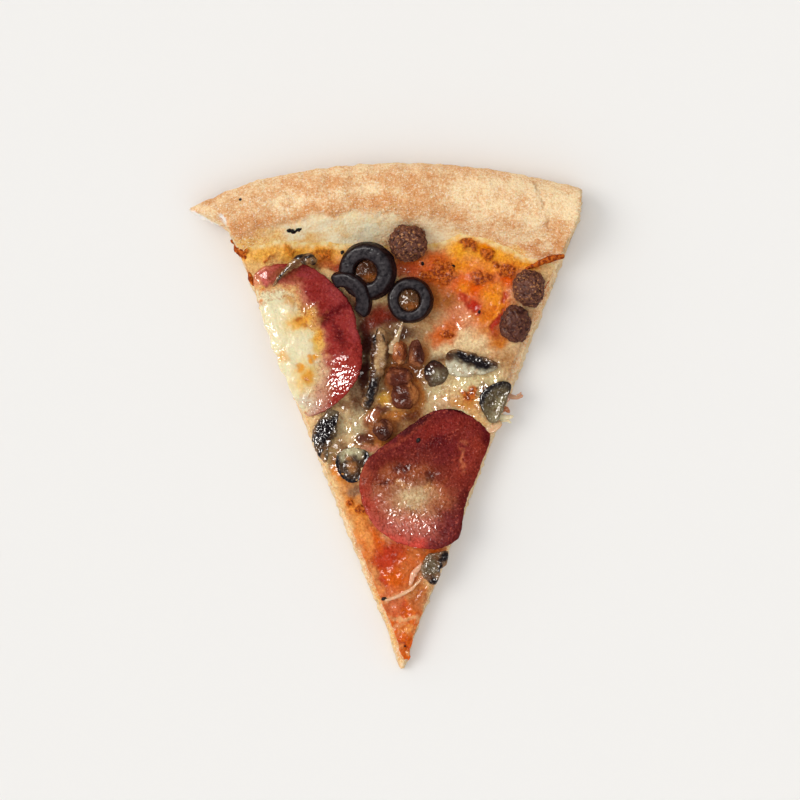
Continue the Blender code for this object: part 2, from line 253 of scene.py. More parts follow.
def patches(x, y, ovals, soft=0.35):
    """How far each point lies in any of the ovals: x, y, half length, half width, then a lean in
    degrees and a strength where they aren't 0 and 1."""
    covered = np.zeros(len(x))
    for middle_x, middle_y, half_long, half_wide, lean, strength in (
            (*oval, *(0, 1)[len(oval) - 4:]) for oval in ovals):
        turn = math.radians(lean)
        along = (x - middle_x) * math.cos(turn) + (y - middle_y) * math.sin(turn)
        across = (y - middle_y) * math.cos(turn) - (x - middle_x) * math.sin(turn)
        out = np.hypot(along / half_long, across / half_wide)
        covered = np.maximum(covered, strength * (1 - ease(1 - soft, 1 + soft, out)))
    return covered


def mark(mesh, name, values):
    """Keeps one value for each vertex, for the piece's finish to read."""
    layer = mesh.attributes.new(name, "FLOAT", "POINT")
    layer.data.foreach_set("value", np.asarray(values, np.float32))


class Finish(Net):
    """The material of one kind of piece: a Principled surface fed by nodes."""

    def __init__(self, name, **constants):
        self.material = bpy.data.materials.new(name)
        self.material.use_nodes = True
        super().__init__(self.material.node_tree)
        self.surface = self.tree.nodes["Principled BSDF"]
        self.surface_gets(**constants)
        self.place = self.add("ShaderNodeTexCoord", output="Object")

    def marked(self, name):
        """The value kept for each vertex under this name."""
        return self.add("ShaderNodeAttribute", {"attribute_name": name}, output="Fac")

    def painted(self, mottle, speckle, deep, pale):
        """The colour kept for each vertex, deepened by one noise and lightened by the other."""
        tone = self.add("ShaderNodeAttribute", {"attribute_name": "tone"}, output="Color")
        deeper, paler = [
            self.add("ShaderNodeMix", {"data_type": "RGBA", "blend_type": "MULTIPLY"},
                     {0: 1.0, 6: tone, 7: share}, 2)
            for share in ((0.70, 0.48, 0.36), (1.22, 1.25, 1.2))]
        tone = self.mix(self.step(mottle * 0.5 + speckle * 0.7, 0.52, 0.78) * deep, tone, deeper)
        return self.mix(self.step(speckle, 0.48, 0.34) * pale, tone, paler)

    def clouds(self, size, detail=3.0, roughness=0.55, seed=0.0):
        """Cloudy noise from 0 to 1, whose clouds are size millimetres across."""
        shifted = self.add("ShaderNodeVectorMath", {"operation": "ADD"},
                           {0: self.place, 1: (seed, seed / 2, -seed)})
        return self.add("ShaderNodeTexNoise", None,
                        {"Vector": shifted, "Scale": 1 / (size * MM), "Detail": detail,
                         "Roughness": roughness})

    def mix(self, factor, first, second):
        """A colour between two colours."""
        return self.add("ShaderNodeMix", {"data_type": "RGBA", "clamp_factor": True},
                        {0: factor, 6: first, 7: second}, 2)

    def surface_gets(self, **inputs):
        for name, value in inputs.items():
            socket = name.replace("_", " ").title().replace("Ior", "IOR")
            self.give(self.surface.inputs[socket], value)

    def bump(self, height, depth):
        """Fine relief, depth millimetres from a height of 0 to a height of 1."""
        relief = self.add("ShaderNodeBump", None, {"Height": height, "Distance": depth * MM},
                          "Normal")
        self.give(self.surface.inputs["Normal"], relief)


def fit_out(piece, finish, slot, *nodes):
    """Finishes a piece: smooth faces, material, the body it rides on, the nodes it stands for."""
    piece.data.shade_smooth()
    piece.data.materials.append(finish.material)
    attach(piece, "root")
    if nodes:
        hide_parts(*nodes)


dough = fine_copy("dough", "baked_dough", voxel=0.75, smoothing=4)
x, y, z = points_of(dough.data)
normal_x, normal_y, normal_z = columns_of(dough.data, "normal")
reach = np.hypot(x, y)
turn = np.arctan2(x, y)
in_crust = ease(CRUST_FOOT, CRUST_CREST, reach)
off_cut = reach * np.sin(CUT_LEAN - np.abs(turn))  # distance inside the nearer cut face
sideways = np.abs(normal_x * np.cos(turn) - normal_y * np.sin(turn))
crumb = ease(0.62, 0.86, sideways) * ease(2.6, 1.0, off_cut)
upper = ease(0.1, 0.5, normal_z) * (1 - crumb)
puffed = 0.35 * cloudy(x, y, z, 11, 2) + 0.16 * cloudy(x, y, z, 3.2, 3, seed=7)
pores = np.array([noise.voronoi((a / 2.8, b / 2.8, c / 1.8))[0][0] for a, b, c in zip(x, y, z)])
pores = ease(0.5, 0.15, pores + 0.12 * cloudy(x, y, z, 9, 2, seed=14))
torn_crumb = 0.42 * cloudy(x, y, z, 2.2, 3, seed=3) - 1.2 * pores
CRACK = ((45.7, 167), (47.9, 163), (48.3, 160.5), (49.2, 156.6), (49.6, 153), (49.2, 148.7))
crack = np.full(len(x), 9.0)
for (from_x, from_y), (to_x, to_y) in zip(CRACK, CRACK[1:]):
    share = np.clip((y - from_y) / (to_y - from_y), 0, 1)
    wander = 0.35 * np.sin(2.1 * y) + 0.2 * np.sin(5.3 * y)
    crack = np.minimum(crack, np.hypot(x - from_x - share * (to_x - from_x) - wander,
                                       y - from_y - share * (to_y - from_y)))
cracked = ease(0.6, 0.15, crack) * upper * (0.6 + 0.4 * np.sin(y))
push = puffed * upper * (0.35 + 0.65 * in_crust) + torn_crumb * crumb - 0.7 * cracked
low_side = ease(0.3, 1.5, z)
x, y, z = (x + push * normal_x * low_side, y + push * normal_y * low_side,
           np.maximum(z + push * normal_z * low_side, 0))
bearing = np.degrees(np.arctan2(x, y))
RIM = ((-25, 174.6), (-20, 175.0), (-16.6, 175.3), (-13.2, 174.7), (-6.6, 174.2), (0, 174.0),
       (6.6, 174.2), (13.2, 174.8), (16.6, 175.8), (19, 176.8), (23, 177.6))  # bearing, distance
CRUST_BACK = 165  # the crust's outer face lies beyond this
reach = np.hypot(x, y)
places = np.arange(-25, 24, 0.5)
out_to = np.array([reach[np.abs(bearing - place) < 0.5].max(initial=0) for place in places])
present = out_to > CRUST_BACK
out_to = np.interp(bearing, places[present], out_to[present])
uneven = 0.25 * cloudy(bearing, bearing * 0, bearing * 0, 1.3, 3, seed=4)
wanted = np.interp(bearing, *zip(*RIM)) + uneven
stretched = 1 + (wanted - out_to) / out_to * ease(CRUST_FOOT, 172, reach)
x, y = x * stretched, y * stretched
x = x - 2.8 * ease(152, 167, y) * ease(35, 60, x)  # the right end is cut off a little straighter
y = y - 0.7 * ease(-60, -71, x)  # the torn spike at the left end
x = x - 1.2 * ease(-60, -71, x)
x = x * (1 - 0.16 * ease(30, 4, y)) * (1 - 0.4 * ease(5, -1, y))
drawn = 2.0 * ease(16, 0, y)  # the tip is drawn out to a point
move_to(dough.data, x, y - drawn, z)
wandering = 1.4 * cloudy(x, y, z, 6, 2, seed=21)
TOASTED = (  # browner stretches of the crust
    (-50, 152, 12, 4, 12), (-33, 155, 14, 3.5, 10, 0.9), (-12, 159.5, 12, 3, 6, 0.75),
    (3, 161, 9, 6, 0, 0.7), (14, 157, 9, 4, -12, 0.85), (-57, 158, 6, 4, 30, 0.5),
    (-30, 166, 14, 4, 8, 0.5), (-51, 160.5, 7, 4, 12, 0.35), (55, 145.8, 3.4, 2.6, 0, 0.9),
    (2, 168, 16, 4, 0, 0.5), (30, 148, 8, 3, -15, 0.45), (42, 158, 5, 4, 0, 0.5),
    (36, 153.5, 7, 3, -10, 0.3), (54, 150.5, 5, 4, -30, 0.55), (46, 144.5, 6, 1.6, -15, 0.9),
    (24, 170, 20, 2, -6, 0.4), (-66, 161.5, 6, 1.4, 28, 0.9),
)
PALE = ((40, 163, 15, 7, -10), (54, 158, 7, 7, 0, 0.9), (-12, 164.5, 6, 2.4, 0, 0.8),
        (24, 161, 8, 4, 0, 0.6), (-38, 160.5, 9, 2, 10, 0.5), (27, 154, 8, 2.5, -10, 0.5))
OILED = ((-50, 146, 12, 3.4, 12), (-34, 146.5, 9, 2.5, 5, 0.8), (-8, 148, 12, 1.6, 0, 0.25),
         (33, 144, 12, 2.6, -15, 0.8), (20, 148.5, 8, 2.5, -5, 0.5), (-6.2, 16, 2.4, 14, 21, 0.8))
mark(dough.data, "crumb", crumb * ease(0.2, 1.2, z))
# painted shade in the pores of the cut crumb
mark(dough.data, "painted_pore_shade", pores * crumb)
mark(dough.data, "toasted", patches(x + wandering, y + wandering, TOASTED, soft=0.6))
mark(dough.data, "pale", patches(x + wandering, y - wandering, PALE, soft=0.6))
mark(dough.data, "oiled", patches(x + wandering, y + wandering, OILED, soft=0.5))
FLOURY = ((-22, 150.5, 24, 5, 4), (-14, 152, 12, 4.5), (8, 149, 14, 4, 0, 0.7),
          (38, 147, 14, 5, -16, 0.15))
mark(dough.data, "foot", patches(x + wandering, y + wandering, FLOURY, soft=0.6))
mark(dough.data, "under", ease(0.0, -0.6, normal_z))
mark(dough.data, "cracked", cracked)
mark(dough.data, "torn", patches(x, y, ((-66, 155.6, 9, 4.4, 10),), 0.3))

crust = Finish("baked crust", roughness=0.8, subsurface_weight=0.12, subsurface_scale=0.002,
               specular_ior_level=0)
mottle = crust.clouds(4.5, detail=4, roughness=0.6)
grit = crust.clouds(0.85, detail=3, roughness=0.7, seed=0.3)
flour = crust.clouds(0.55, detail=2, roughness=0.6, seed=0.6)
browned = (grit * 0.75 + (mottle - 0.5) * 0.6 + crust.marked("toasted") * 0.22
           - crust.marked("pale") * 0.09)
colour = crust.mix(crust.step(browned, 0.20, 0.62), shade(252, 222, 174), shade(222, 156, 98))
colour = crust.mix(crust.step(browned, 0.54, 0.76) * 0.7, colour, shade(198, 124, 70))
foot = crust.step(crust.marked("foot") + (mottle - 0.5) * 0.6, 0.15, 0.9)
foot_colour = crust.mix(crust.step(mottle * 0.6 + grit * 0.5, 0.42, 0.72), shade(255, 242, 206),
                        shade(246, 212, 154))
colour = crust.mix(foot * 0.9, colour, foot_colour)
oiled = crust.step(crust.marked("oiled") + (mottle - 0.5) * 0.7, 0.1, 1.0)
oiled_colour = crust.mix(crust.step(grit, 0.4, 0.65), shade(248, 200, 116), shade(232, 156, 64))
colour = crust.mix(oiled * 0.75, colour, oiled_colour)
colour = crust.mix(crust.step(flour, 0.56, 0.66) * (1 - foot) * 0.6, colour, shade(255, 243, 222))
colour = crust.mix(crust.step(flour, 0.44, 0.34) * (1 - foot) * 0.3, colour, shade(206, 130, 78))
crumb_colour = crust.mix(crust.clouds(1.4), shade(248, 226, 186), shade(216, 178, 128))
crumb_colour = crust.mix(crust.marked("torn"), crumb_colour,
                         crust.mix(crust.clouds(0.9), shade(255, 255, 252), shade(252, 247, 238)))
# painted shade darkens the pores of the crumb
crumb_colour = crust.mix(crust.marked("painted_pore_shade") * 0.55, crumb_colour, shade(178, 130, 82))
colour = crust.mix(crust.marked("crumb") * 0.9, colour, crumb_colour)
under_colour = crust.mix(crust.step(crust.clouds(9, detail=6), 0.4, 0.68), shade(226, 184, 130),
                         shade(150, 92, 52))
colour = crust.mix(crust.marked("under"), colour, under_colour)
colour = crust.mix(crust.marked("cracked") * 0.6, colour, shade(170, 105, 60))
crust.surface_gets(base_color=colour, roughness=0.8 - oiled * 0.3)
crust.bump((crust.clouds(0.9, detail=1, seed=0.8) + crust.clouds(2.4, detail=0, seed=0.1) * 0.7)
           * (1 - foot * 0.5), depth=0.6)
fit_out(dough, crust, "baked_dough", "dough")

# The tomato sauce.
# A millimetre of cooked, oily tomato spread over the dough under the cheese. It shows as a thin
# red line along both cuts, where the layers above it end a little short.
SHEET_END = 149.5  # how far from the tip the flat layers reach
DOWN = Vector((0, 0, -1))
ABOVE_ALL = 30  # higher than anything on the slice


def feeler(mesh):
    """What feels for a mesh's surface along a line."""
    bm = bmesh_of(mesh)
    tree = BVHTree.FromBMesh(bm)
    bm.free()
    return tree


def height_over(node):
    """How high the upper face of a solid lies, in millimetres, at any x and y over the slice."""
    pitch, smoothing = 1.5, 2
    down_to_toppings = 20 * MM * DOWN
    columns = np.arange(-75, 76, pitch)
    rows = np.arange(-3, 179, pitch)
    heights = np.zeros((len(rows), len(columns)))
    tree = feeler(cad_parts[node].data)
    for row, place_y in enumerate(rows):
        for column, place_x in enumerate(columns):
            above = tip + Vector((place_x, place_y, ABOVE_ALL)) * MM
            hit = tree.ray_cast(above, DOWN)[0]
            if hit is None:  # beside the solid, the nearest of it counts
                hit = tree.find_nearest(above + down_to_toppings)[0]
            heights[row, column] = max(0, hit.z / MM)
    for _ in range(smoothing):
        padded = np.pad(heights, 1, mode="edge")
        heights = (2 * heights + padded[:-2, 1:-1] + padded[2:, 1:-1] + padded[1:-1, :-2]
                   + padded[1:-1, 2:]) / 6

    def height(x, y):
        column = np.clip((x - columns[0]) / pitch, 0, len(columns) - 1.01)
        row = np.clip((y - rows[0]) / pitch, 0, len(rows) - 1.01)
        left, below = column.astype(int), row.astype(int)
        column, row = column - left, row - below
        lower = heights[below, left] * (1 - column) + heights[below, left + 1] * column
        higher = heights[below + 1, left] * (1 - column) + heights[below + 1, left + 1] * column
        return lower * (1 - row) + higher * row

    return height


def flat_layer(name, spacing, inset_left, inset_right, end, start):
    """A sheet in the shape of the slice, double, in even squares: returns the piece, and x, y and
    which of its vertices are on the upper face. Insets are distances from the cuts at each y."""
    bm = bmesh.new()
    half_wide = SHEET_END * math.sin(CUT_LEAN)
    bmesh.ops.create_grid(bm, x_segments=round(2 * half_wide / spacing),
                          y_segments=round(SHEET_END / spacing), size=0.5)
    for vert in bm.verts:
        vert.co.x *= 2 * half_wide
        vert.co.y = (vert.co.y + 0.5) * SHEET_END
    for side in (-1, 1):
        outward = Vector((side * math.cos(CUT_LEAN), -math.sin(CUT_LEAN), 0))
        bmesh.ops.bisect_plane(bm, geom=bm.verts[:] + bm.edges[:] + bm.faces[:], dist=spacing / 20,
                               plane_co=(0, 0, 0), plane_no=outward, clear_outer=True)
    beyond = [vert for vert in bm.verts if not start < vert.co.length < SHEET_END]
    bmesh.ops.delete(bm, geom=beyond, context="VERTS")
    raised = bmesh.ops.extrude_face_region(bm, geom=bm.faces[:])["geom"]
    for vert in raised:
        if isinstance(vert, bmesh.types.BMVert):
            vert.co.z = 1
    bmesh.ops.recalc_face_normals(bm, faces=bm.faces)
    piece = set_out(name, mesh_of(bm, name))
    x, y, level = columns_of(piece.data)
    reach, turn = np.hypot(x, y), np.arctan2(x, y)
    for side, inset in ((-1, inset_left), (1, inset_right)):
        depth = reach * np.sin(CUT_LEAN - side * turn)  # distance inside this cut
        shift = inset(y) * ease(9, 0, depth)
        x = x - side * shift * math.cos(CUT_LEAN)
    reach, turn = np.hypot(x, y), np.arctan2(x, y)
    longer = (end(x) - SHEET_END) * ease(SHEET_END - 14, SHEET_END, reach)
    return piece, x + longer * np.sin(turn), y + longer * np.cos(turn), level > 0.5


def along_cut(seed, *stops):
    """A distance from a cut that changes from one (y, distance) to the next, a little unevenly."""
    places, values = zip(*stops)

    def inset(y):
        uneven = (0.3 * cloudy(y, y * 0, y * 0, 2.6, 3, seed)
                  + 0.2 * cloudy(y, y * 0, y * 0, 9, 2, seed))
        return np.interp(y, places, values) + uneven

    return inset


def layer_end(x):
    """How far from the tip the layers end, at each x: a little uneven, further on the left."""
    return np.interp(x, (-60, -53, -45, -30, -12, 5, 14, 20, 30, 42, 55),
                     (157, 156, 155, 151, 147.5, 147, 149, 152.5, 152, 149.5, 151))


left_inset = along_cut(2, (0, 2.2), (12, 2.4), (30, 2.2), (45, 1.8), (60, 0.8), (88, 0.6),
                       (120, 0.3), (150, 0.2))
right_inset = along_cut(3, (0, 0.5), (20, 0.7), (45, 1.0), (85, 1.0), (97, 2.6), (110, 3.4),
                        (128, 2.6), (140, 1.2), (150, 0.8))
dough_top = height_over("dough")
sauce, x, y, upper = flat_layer(
    "tomato_sauce", 1.1, lambda y: left_inset(y) + 0.15, lambda y: right_inset(y) + 0.15,
    lambda x: layer_end(x) - 6, 8)
fade = ease(1, 8, np.hypot(x, y)) * ease(6, 9, layer_end(x) - np.hypot(x, y))
move_to(sauce.data, x, y, dough_top(x, y) + np.where(upper, 1.3 * fade - 0.4, -0.6))
tomato = Finish("cooked tomato sauce", roughness=0.16, specular_ior_level=0.25)
pulp = tomato.clouds(1.3, detail=4, roughness=0.6)
tomato.surface_gets(base_color=tomato.mix(pulp, shade(222, 112, 50), shade(178, 46, 26)))
tomato.bump(tomato.clouds(1.1, detail=1), depth=0.8)
fit_out(sauce, tomato, "tomato_sauce", "tomato_sauce")

# The cheese.
# Grated cheese melted into one soft, greasy sheet. It has blistered and browned where it was
# thin, taken up red and orange oil from the sauce, and settled round everything lying on it.
def paint(mesh, x, y, base, *coats):
    """Keeps a colour for each vertex: a base colour, and coats laid over it in order. Each coat is
    a colour, then how soft its edges are and its ovals, or None and how far it covers each point.
    """
    tone = np.tile(shade(*base), (len(x), 1))
    for colour, soft, ovals in coats:
        covered = (patches(x, y, ovals, soft) if soft else ovals)[:, None]
        tone = tone * (1 - covered) + np.array(shade(*colour)) * covered
    layer = mesh.attributes.new("tone", "FLOAT_COLOR", "POINT")
    layer.data.foreach_set("color", np.hstack((tone, np.ones((len(x), 1)))).ravel())


def wetten(mesh, wet, size=0.95, height=0.17):
    """Keeps how wet each vertex is, and raises small soft creases that catch the light there."""
    x, y, z = points_of(mesh)
    creases = cloudy(x * 1.25, y * 0.8, x * 0, size, 1, seed=61)
    move_to(mesh, x, y, z + height * size * wet * creases)
    mark(mesh, "wet", wet)


BLISTERS = (  # x, y, half length, half width, lean, height: browned bubbles in the cheese
    (-54.8, 143.8, 2.8, 2.2, 20, 1.0), (-38.6, 144, 2.9, 2.2, 10, 0.9),
    (-26.5, 142.6, 2.8, 2.3, 0, 0.8), (23.2, 145.8, 3.2, 1.7, -10, 1.0),
    (29.3, 142.4, 2.8, 2.0, -35, 1.0), (13.6, 136.6, 4.6, 4.2, 0, 1.2),
    (8.4, 135.2, 2.4, 2.0, 0, 0.9), (27, 134.7, 3.8, 3.0, 0, 1.0), (36.5, 136.8, 3.0, 2.4, 0, 0.9),
    (15.2, 115.4, 2.4, 1.6, 33, 0.8), (23.4, 94.6, 2.8, 2.2, 0, 0.6),
    (-17.5, 57.6, 1.6, 1.6, 0, 0.5), (-14.2, 54.5, 1.8, 1.5, 0, 0.5),
    (-34.6, 138.4, 2.6, 1.0, 25, 0.5), (-30.6, 141.2, 1.6, 1.2, 0, 0.4),
    (-45.6, 141.6, 1.8, 1.2, 20, 0.5), (32.8, 139.0, 1.6, 1.0, -20, 0.4),
)
# Lumps that are given as the blisters are; and, as ovals, red oily pools and dark hollows: dark
# sauce with painted shade over it.
LUMPS = ((-9.3, 87.4, 3.9, 2.5, 42, 1.5), (-13.6, 79.0, 3.4, 1.8, 5, 1.0),
         (-3.4, 89.4, 3.6, 1.4, -12, 0.6))
SAUCY = ((1.5, 137.6, 4.4, 2.4, 0, 0.65), (3.0, 133.6, 3, 4, 0, 0.6), (24.6, 125.0, 2.8, 2.0, -20),
         (21.6, 127.8, 2.4, 1.2, -35, 0.8), (32.8, 119.6, 4.2, 1.0, 52),
         (35.3, 128, 2.6, 1.2, 42, 0.9), (27, 136.0, 3.4, 2.2, 0, 0.4), (-4.4, 39.0, 5.6, 4.4, 40),
         (-6.8, 30.6, 1.4, 4.6, 22, 0.9), (-2, 21.8, 3.8, 2.4, 25, 0.9),
         (-0.4, 9, 4.0, 0.6, -33, 0.9), (-8, 122, 4, 2.4, 30, 0.35), (-22, 138.4, 7, 1.6, -12, 0.6))
# hollows of dark sauce, darkened further as painted shade beside the salami, the olives and the
# mushroom
DARK_SAUCE_AND_SHADE = ((-12.4, 113.4, 3.2, 10, 4), (-13.4, 101.4, 2.8, 8.6, -8), (-3.4, 121.8, 5.6, 3.8, 10),
        (-14.8, 123.4, 2.2, 4), (-20, 133.4, 3.4, 2.4, 0, 0.5), (8.4, 132, 1.6, 5, 20, 0.3),
        (-22.6, 138.2, 2.2, 1.4, 0, 0.8), (-29.6, 138.8, 2.2, 1.0, 0, 0.7),
        (-11.6, 119.4, 1.8, 2.2, 0, 0.8))
COATS = (  # colour, softness, ovals
    ((240, 182, 92), 0.9, (
        (-50, 143.5, 12, 5, 12), (-33, 142.5, 12, 5, 5), (-16, 142, 7, 4, 0, 0.7))),
    ((246, 170, 44), 0.8, (
        (30, 142.6, 13, 5, -14), (19.5, 144, 5, 5), (42, 140, 5, 3, -15),
        (-46, 143, 6, 2.4, 10, 0.45), (-38.6, 144, 4.6, 3.6, 10, 0.8),
        (-26.5, 142.8, 4.4, 3.4, 0, 0.8), (-55, 144, 4, 3.4, 20, 0.8))),
    ((220, 108, 36), 0.9, ((3, 140.5, 8, 4), (12, 139.5, 6, 3.4), (-20, 139.4, 8, 2, -10, 0.5))),
    ((224, 88, 12), 0.8, (
        (24, 131, 13, 8.6, 6), (32, 122, 5.6, 9, -25), (11, 134, 8, 6.6), (36, 134, 5, 4.6))),
    ((242, 146, 34), 0.8, (
        (20.6, 138.4, 4.4, 2.0), (31.4, 127.8, 4, 4, 30), (33.5, 121.4, 2.6, 4.6, -25),
        (29, 118.6, 4, 2.6), (30.5, 112.4, 2.6, 3.6), (21.4, 131.2, 2.4, 2.4, 0, 0.7),
        (31.4, 137.6, 2.4, 1.6, 0, 0.8), (38.6, 138.6, 3, 1.4, -10, 0.8))),
    ((228, 142, 98), 0.9, ((20, 123.4, 7, 4), (17, 119.6, 7, 3.6), (25, 117.8, 5, 3, 0, 0.8))),
    # oily tan-brown cheese, darkened on the right of olive_3 as the olive's painted shadow
    ((172, 100, 42), 0.9, ((11.2, 127, 3.8, 6), (15.6, 126.4, 3.6, 3), (8.2, 120.6, 3, 4))),
    ((186, 146, 100), 0.8, (
        (8, 116.4, 3.8, 5), (9.4, 111.4, 3.6, 5.4), (12, 121.2, 3, 2.6, 0, 0.8))),
    ((102, 68, 48), 0.7, ((-0.4, 115.2, 6, 2.6), (5.4, 103, 3, 2), (-1.4, 112, 3, 3, 0, 0.6))),
    ((124, 88, 58), 0.7, ((12.6, 106.6, 3.4, 2.2, 10),)),
    ((240, 212, 162), 0.8, ((20.5, 112.6, 5, 2.4, 40), (12.2, 109.6, 3.4, 2.2, 20, 0.8))),
    ((240, 208, 158), 0.8, ((25, 111.6, 9, 3.4, -5), (33, 108, 6, 7, 10))),
    ((206, 120, 42), 0.7, (
        (33, 112.8, 3.6, 3.6), (28.4, 116.2, 3.6, 2, 20, 0.7), (32.4, 107.6, 2, 2, 0, 0.5))),
    ((176, 82, 36), 0.7, ((33.2, 116.2, 2.4, 2.2),)),
    ((222, 118, 18), 0.6, ((28, 122.2, 3.2, 3.2, 0, 0.8),)),
    ((212, 172, 126), 0.8, ((39.6, 108, 2.4, 9, -22), (43.6, 122, 3, 9, -22))),
    ((192, 144, 92), 0.8, ((36, 106.5, 3.4, 3.4), (14.4, 95.3, 2.4, 1.6, 0, 0.6))),
    ((228, 128, 6), 0.7, ((28.4, 145.2, 3.0, 1.6, -10),)),
    ((212, 104, 42), 0.6, ((14.2, 115.2, 5.8, 3.4, 33),)),
    ((224, 204, 152), 0.8, (
        (26, 98.6, 11, 4.4, -8), (10, 94.6, 4.4, 5), (20, 89.6, 10, 4, -20), (28, 88, 5, 5))),
    ((228, 166, 96), 0.8, ((19, 91.4, 8, 1.4, -14), (25.4, 87.4, 5, 1.4, -40, 0.7))),
    ((226, 186, 140), 0.8, ((13.6, 91.6, 3.8, 2.6),)),
    ((206, 136, 60), 0.8, ((23, 92.8, 4.4, 2.8, -25), (19.4, 90.8, 3, 1.4, 0, 0.8))),
    ((140, 104, 72), 0.7, ((28.6, 96, 2, 2),)),
    # dark sauce with painted shade over it
    ((66, 28, 22), 0.6, DARK_SAUCE_AND_SHADE),
    ((112, 44, 32), 0.7, ((-8, 120.4, 6, 4, 20), (-16.4, 128, 3, 4, 0, 0.7))),
    ((104, 68, 44), 0.8, (
        (-15.6, 93, 2.8, 5, -10), (-14.6, 89.6, 3, 3), (-4.6, 98.6, 2.6, 5), (-12.4, 94.4, 1.6, 3),
        (-19, 91, 3, 2), (-23.4, 71, 2, 3, 20, 0.7))),
    ((182, 134, 80), 0.8, (
        (-5.0, 109, 2.4, 5.6), (-5.4, 103, 2, 4), (6.6, 101.8, 2.6, 2.4), (8.2, 106, 1.8, 5))),
    ((118, 66, 40), 0.7, (
        (1.4, 104, 6, 2.6), (1.6, 98.4, 6.6, 7.6), (-5.6, 83, 6.6, 4.6, 20),
        (-12.4, 80.2, 4.6, 2.6, 8))),
    ((196, 124, 56), 0.6, (
        (5.8, 94.4, 1.9, 6.2, 12), (0, 86.8, 6, 1.8, -8), (-9.3, 87.4, 4.6, 2.6, 35),
        (5, 88.6, 3.4, 1.8, -20), (-7.6, 77.8, 6, 1.8), (-2, 79.6, 4, 1.4, 35, 0.8))),
    ((222, 164, 62), 0.6, ((-6.3, 93.2, 2.4, 1.6, 20), (-1.6, 89.8, 2.2, 0.8, -20, 0.7))),
    ((118, 72, 44), 0.7, ((-5.8, 89, 2.6, 1.5, 20),)),
    ((196, 176, 134), 0.7, ((-15.6, 84.6, 3, 4.4, 10), (-20.6, 83, 1.6, 4, 0, 0.8))),
    ((150, 112, 76), 0.7, ((-19, 90.6, 2, 2), (-19.6, 74.6, 2.4, 3.6, 20))),
    ((158, 126, 94), 0.7, ((-15.6, 95.2, 1.7, 2.4),)),
    ((122, 66, 38), 0.7, ((3.4, 86.5, 4.6, 1.9, 25),)),
    ((160, 96, 64), 0.6, ((-9.3, 87.2, 3.4, 2.2, 42),)),
    ((112, 62, 46), 0.6, ((-7.0, 89.6, 1.6, 1.0, 42, 0.8), (-11, 84.4, 1.6, 1.0, 0, 0.6))),
    ((104, 58, 44), 0.5, ((-13.8, 79.2, 3.2, 1.8, 5), (-10.8, 79.2, 2.2, 1.8, 0, 0.8))),
    ((172, 124, 78), 0.5, ((0.2, 83.2, 3.2, 1.7, 35),)),
    ((232, 142, 56), 0.7, ((-15.6, 55, 3.4, 15, 21), (-11, 43, 4, 9, 21), (-21, 67, 1.8, 6, 21))),
    ((156, 112, 78), 0.6, ((-16.8, 61.7, 2.8, 2.2, -10),)),
    ((214, 134, 104), 0.6, ((-9.8, 76, 4, 1.4),)),
    ((220, 98, 24), 0.6, (
        (-3, 33, 14, 9, 65), (0, 18, 9, 9), (1.4, 8, 5, 8), (-10, 43, 5, 7, 20), (8, 40, 8, 4))),
    ((238, 160, 84), 0.8, (
        (-12.6, 45.6, 2, 7, 21, 0.8), (5.6, 27.4, 3.4, 2.4, 30), (-9.6, 33, 1.4, 5, 22, 0.7),
        (2.6, 13.6, 2.4, 1.4, 0, 0.8))),
    ((206, 112, 54), 0.7, (
        (5.4, 40.4, 4, 2.2, 15), (1.8, 34.4, 2.6, 4, 40, 0.8), (1, 29, 3, 1.2, 30, 0.6))),
    ((192, 62, 34), 0.55, SAUCY),
    ((186, 42, 24), 0.85, (
        (24.4, 124.6, 2.5, 1.7, -30), (33.2, 119.8, 5, 0.8, 58),
        (21.4, 127.4, 1.8, 0.8, -35, 0.5))),
    ((232, 152, 90), 0.8, ((-9.6, 32.0, 1.8, 5.4, 22), (-0.7, 7.4, 1.2, 1.5, 0, 0.7))),
    ((224, 130, 80), 0.7, ((-3.4, 23.6, 3.2, 4.2, 10, 0.8),)),
    ((182, 96, 46), 0.7, ((6.0, 25.2, 3.0, 4.0, -20, 0.9),)),
    ((232, 166, 110), 0.5, (
        (0.9, 17.6, 5.4, 1.1, -4), (-1.6, 15.2, 2.4, 0.8, 10, 0.7), (-3, 24.8, 4, 0.7, 15, 0.8))),
    ((228, 182, 128), 0.6, (
        (12.4, 22, 1.4, 9, -22), (18, 35, 1.2, 9, -22), (6.6, 11, 0.9, 7, -22),
        (-3.0, 8, 0.8, 6, 24))),
    ((204, 106, 44), 0.5, (
        (-52.8, 134.5, 1.2, 3.2, 15), (-48.8, 122, 0.7, 3, 20), (-41.6, 108.7, 0.9, 3, 25),
        (-39.6, 97.5, 0.7, 2.4, 22), (-17.4, 44, 0.6, 3, 22), (-13.6, 36.7, 0.5, 2, 22),
        (-8.0, 20, 0.5, 2, 22), (38.4, 101, 0.6, 3, -22), (40.6, 106.4, 0.5, 2.4, -22))),
)
# Where the cheese is heaped against a topping, or nests a lump of meat: x, y, radius.
MOUNDS = ((-12.5, 136.5, 9.3), (2.6, 126.8, 7.6), (2.3, 146.4, 6.6), (43.4, 131, 5.8),
          (38.8, 118.8, 5.6), (-17.2, 70, 5.6), (11.8, 100.9, 3.9), (31.8, 91.2, 6.0),
          (-26, 81, 5.0))
NESTS = ((-0.9, 108.9, 2.6), (4.8, 108.2, 3.0), (-1.2, 100.4, 4.0), (1.4, 94.6, 4.6),
         (-6.6, 82.6, 3.4))
WET = ((-2, 100, 12, 16, 0, 0.6), (27, 99, 12, 7, -8, 0.8), (20, 120.6, 7, 4, 0, 0.45),
       (-20, 78, 7, 12, 20, 0.8), (-10, 87, 5, 4, 40, 0.9), (-13.6, 79, 4, 2.4),
       (-14, 124, 4, 6, 0, 0.2), (0, 30, 10, 18, 0, 0.14), (16, 91, 10, 4, -20, 0.9),
       (26, 131, 12, 9, 0, 0.06), (2, 136, 6, 6, 0, 0.15))

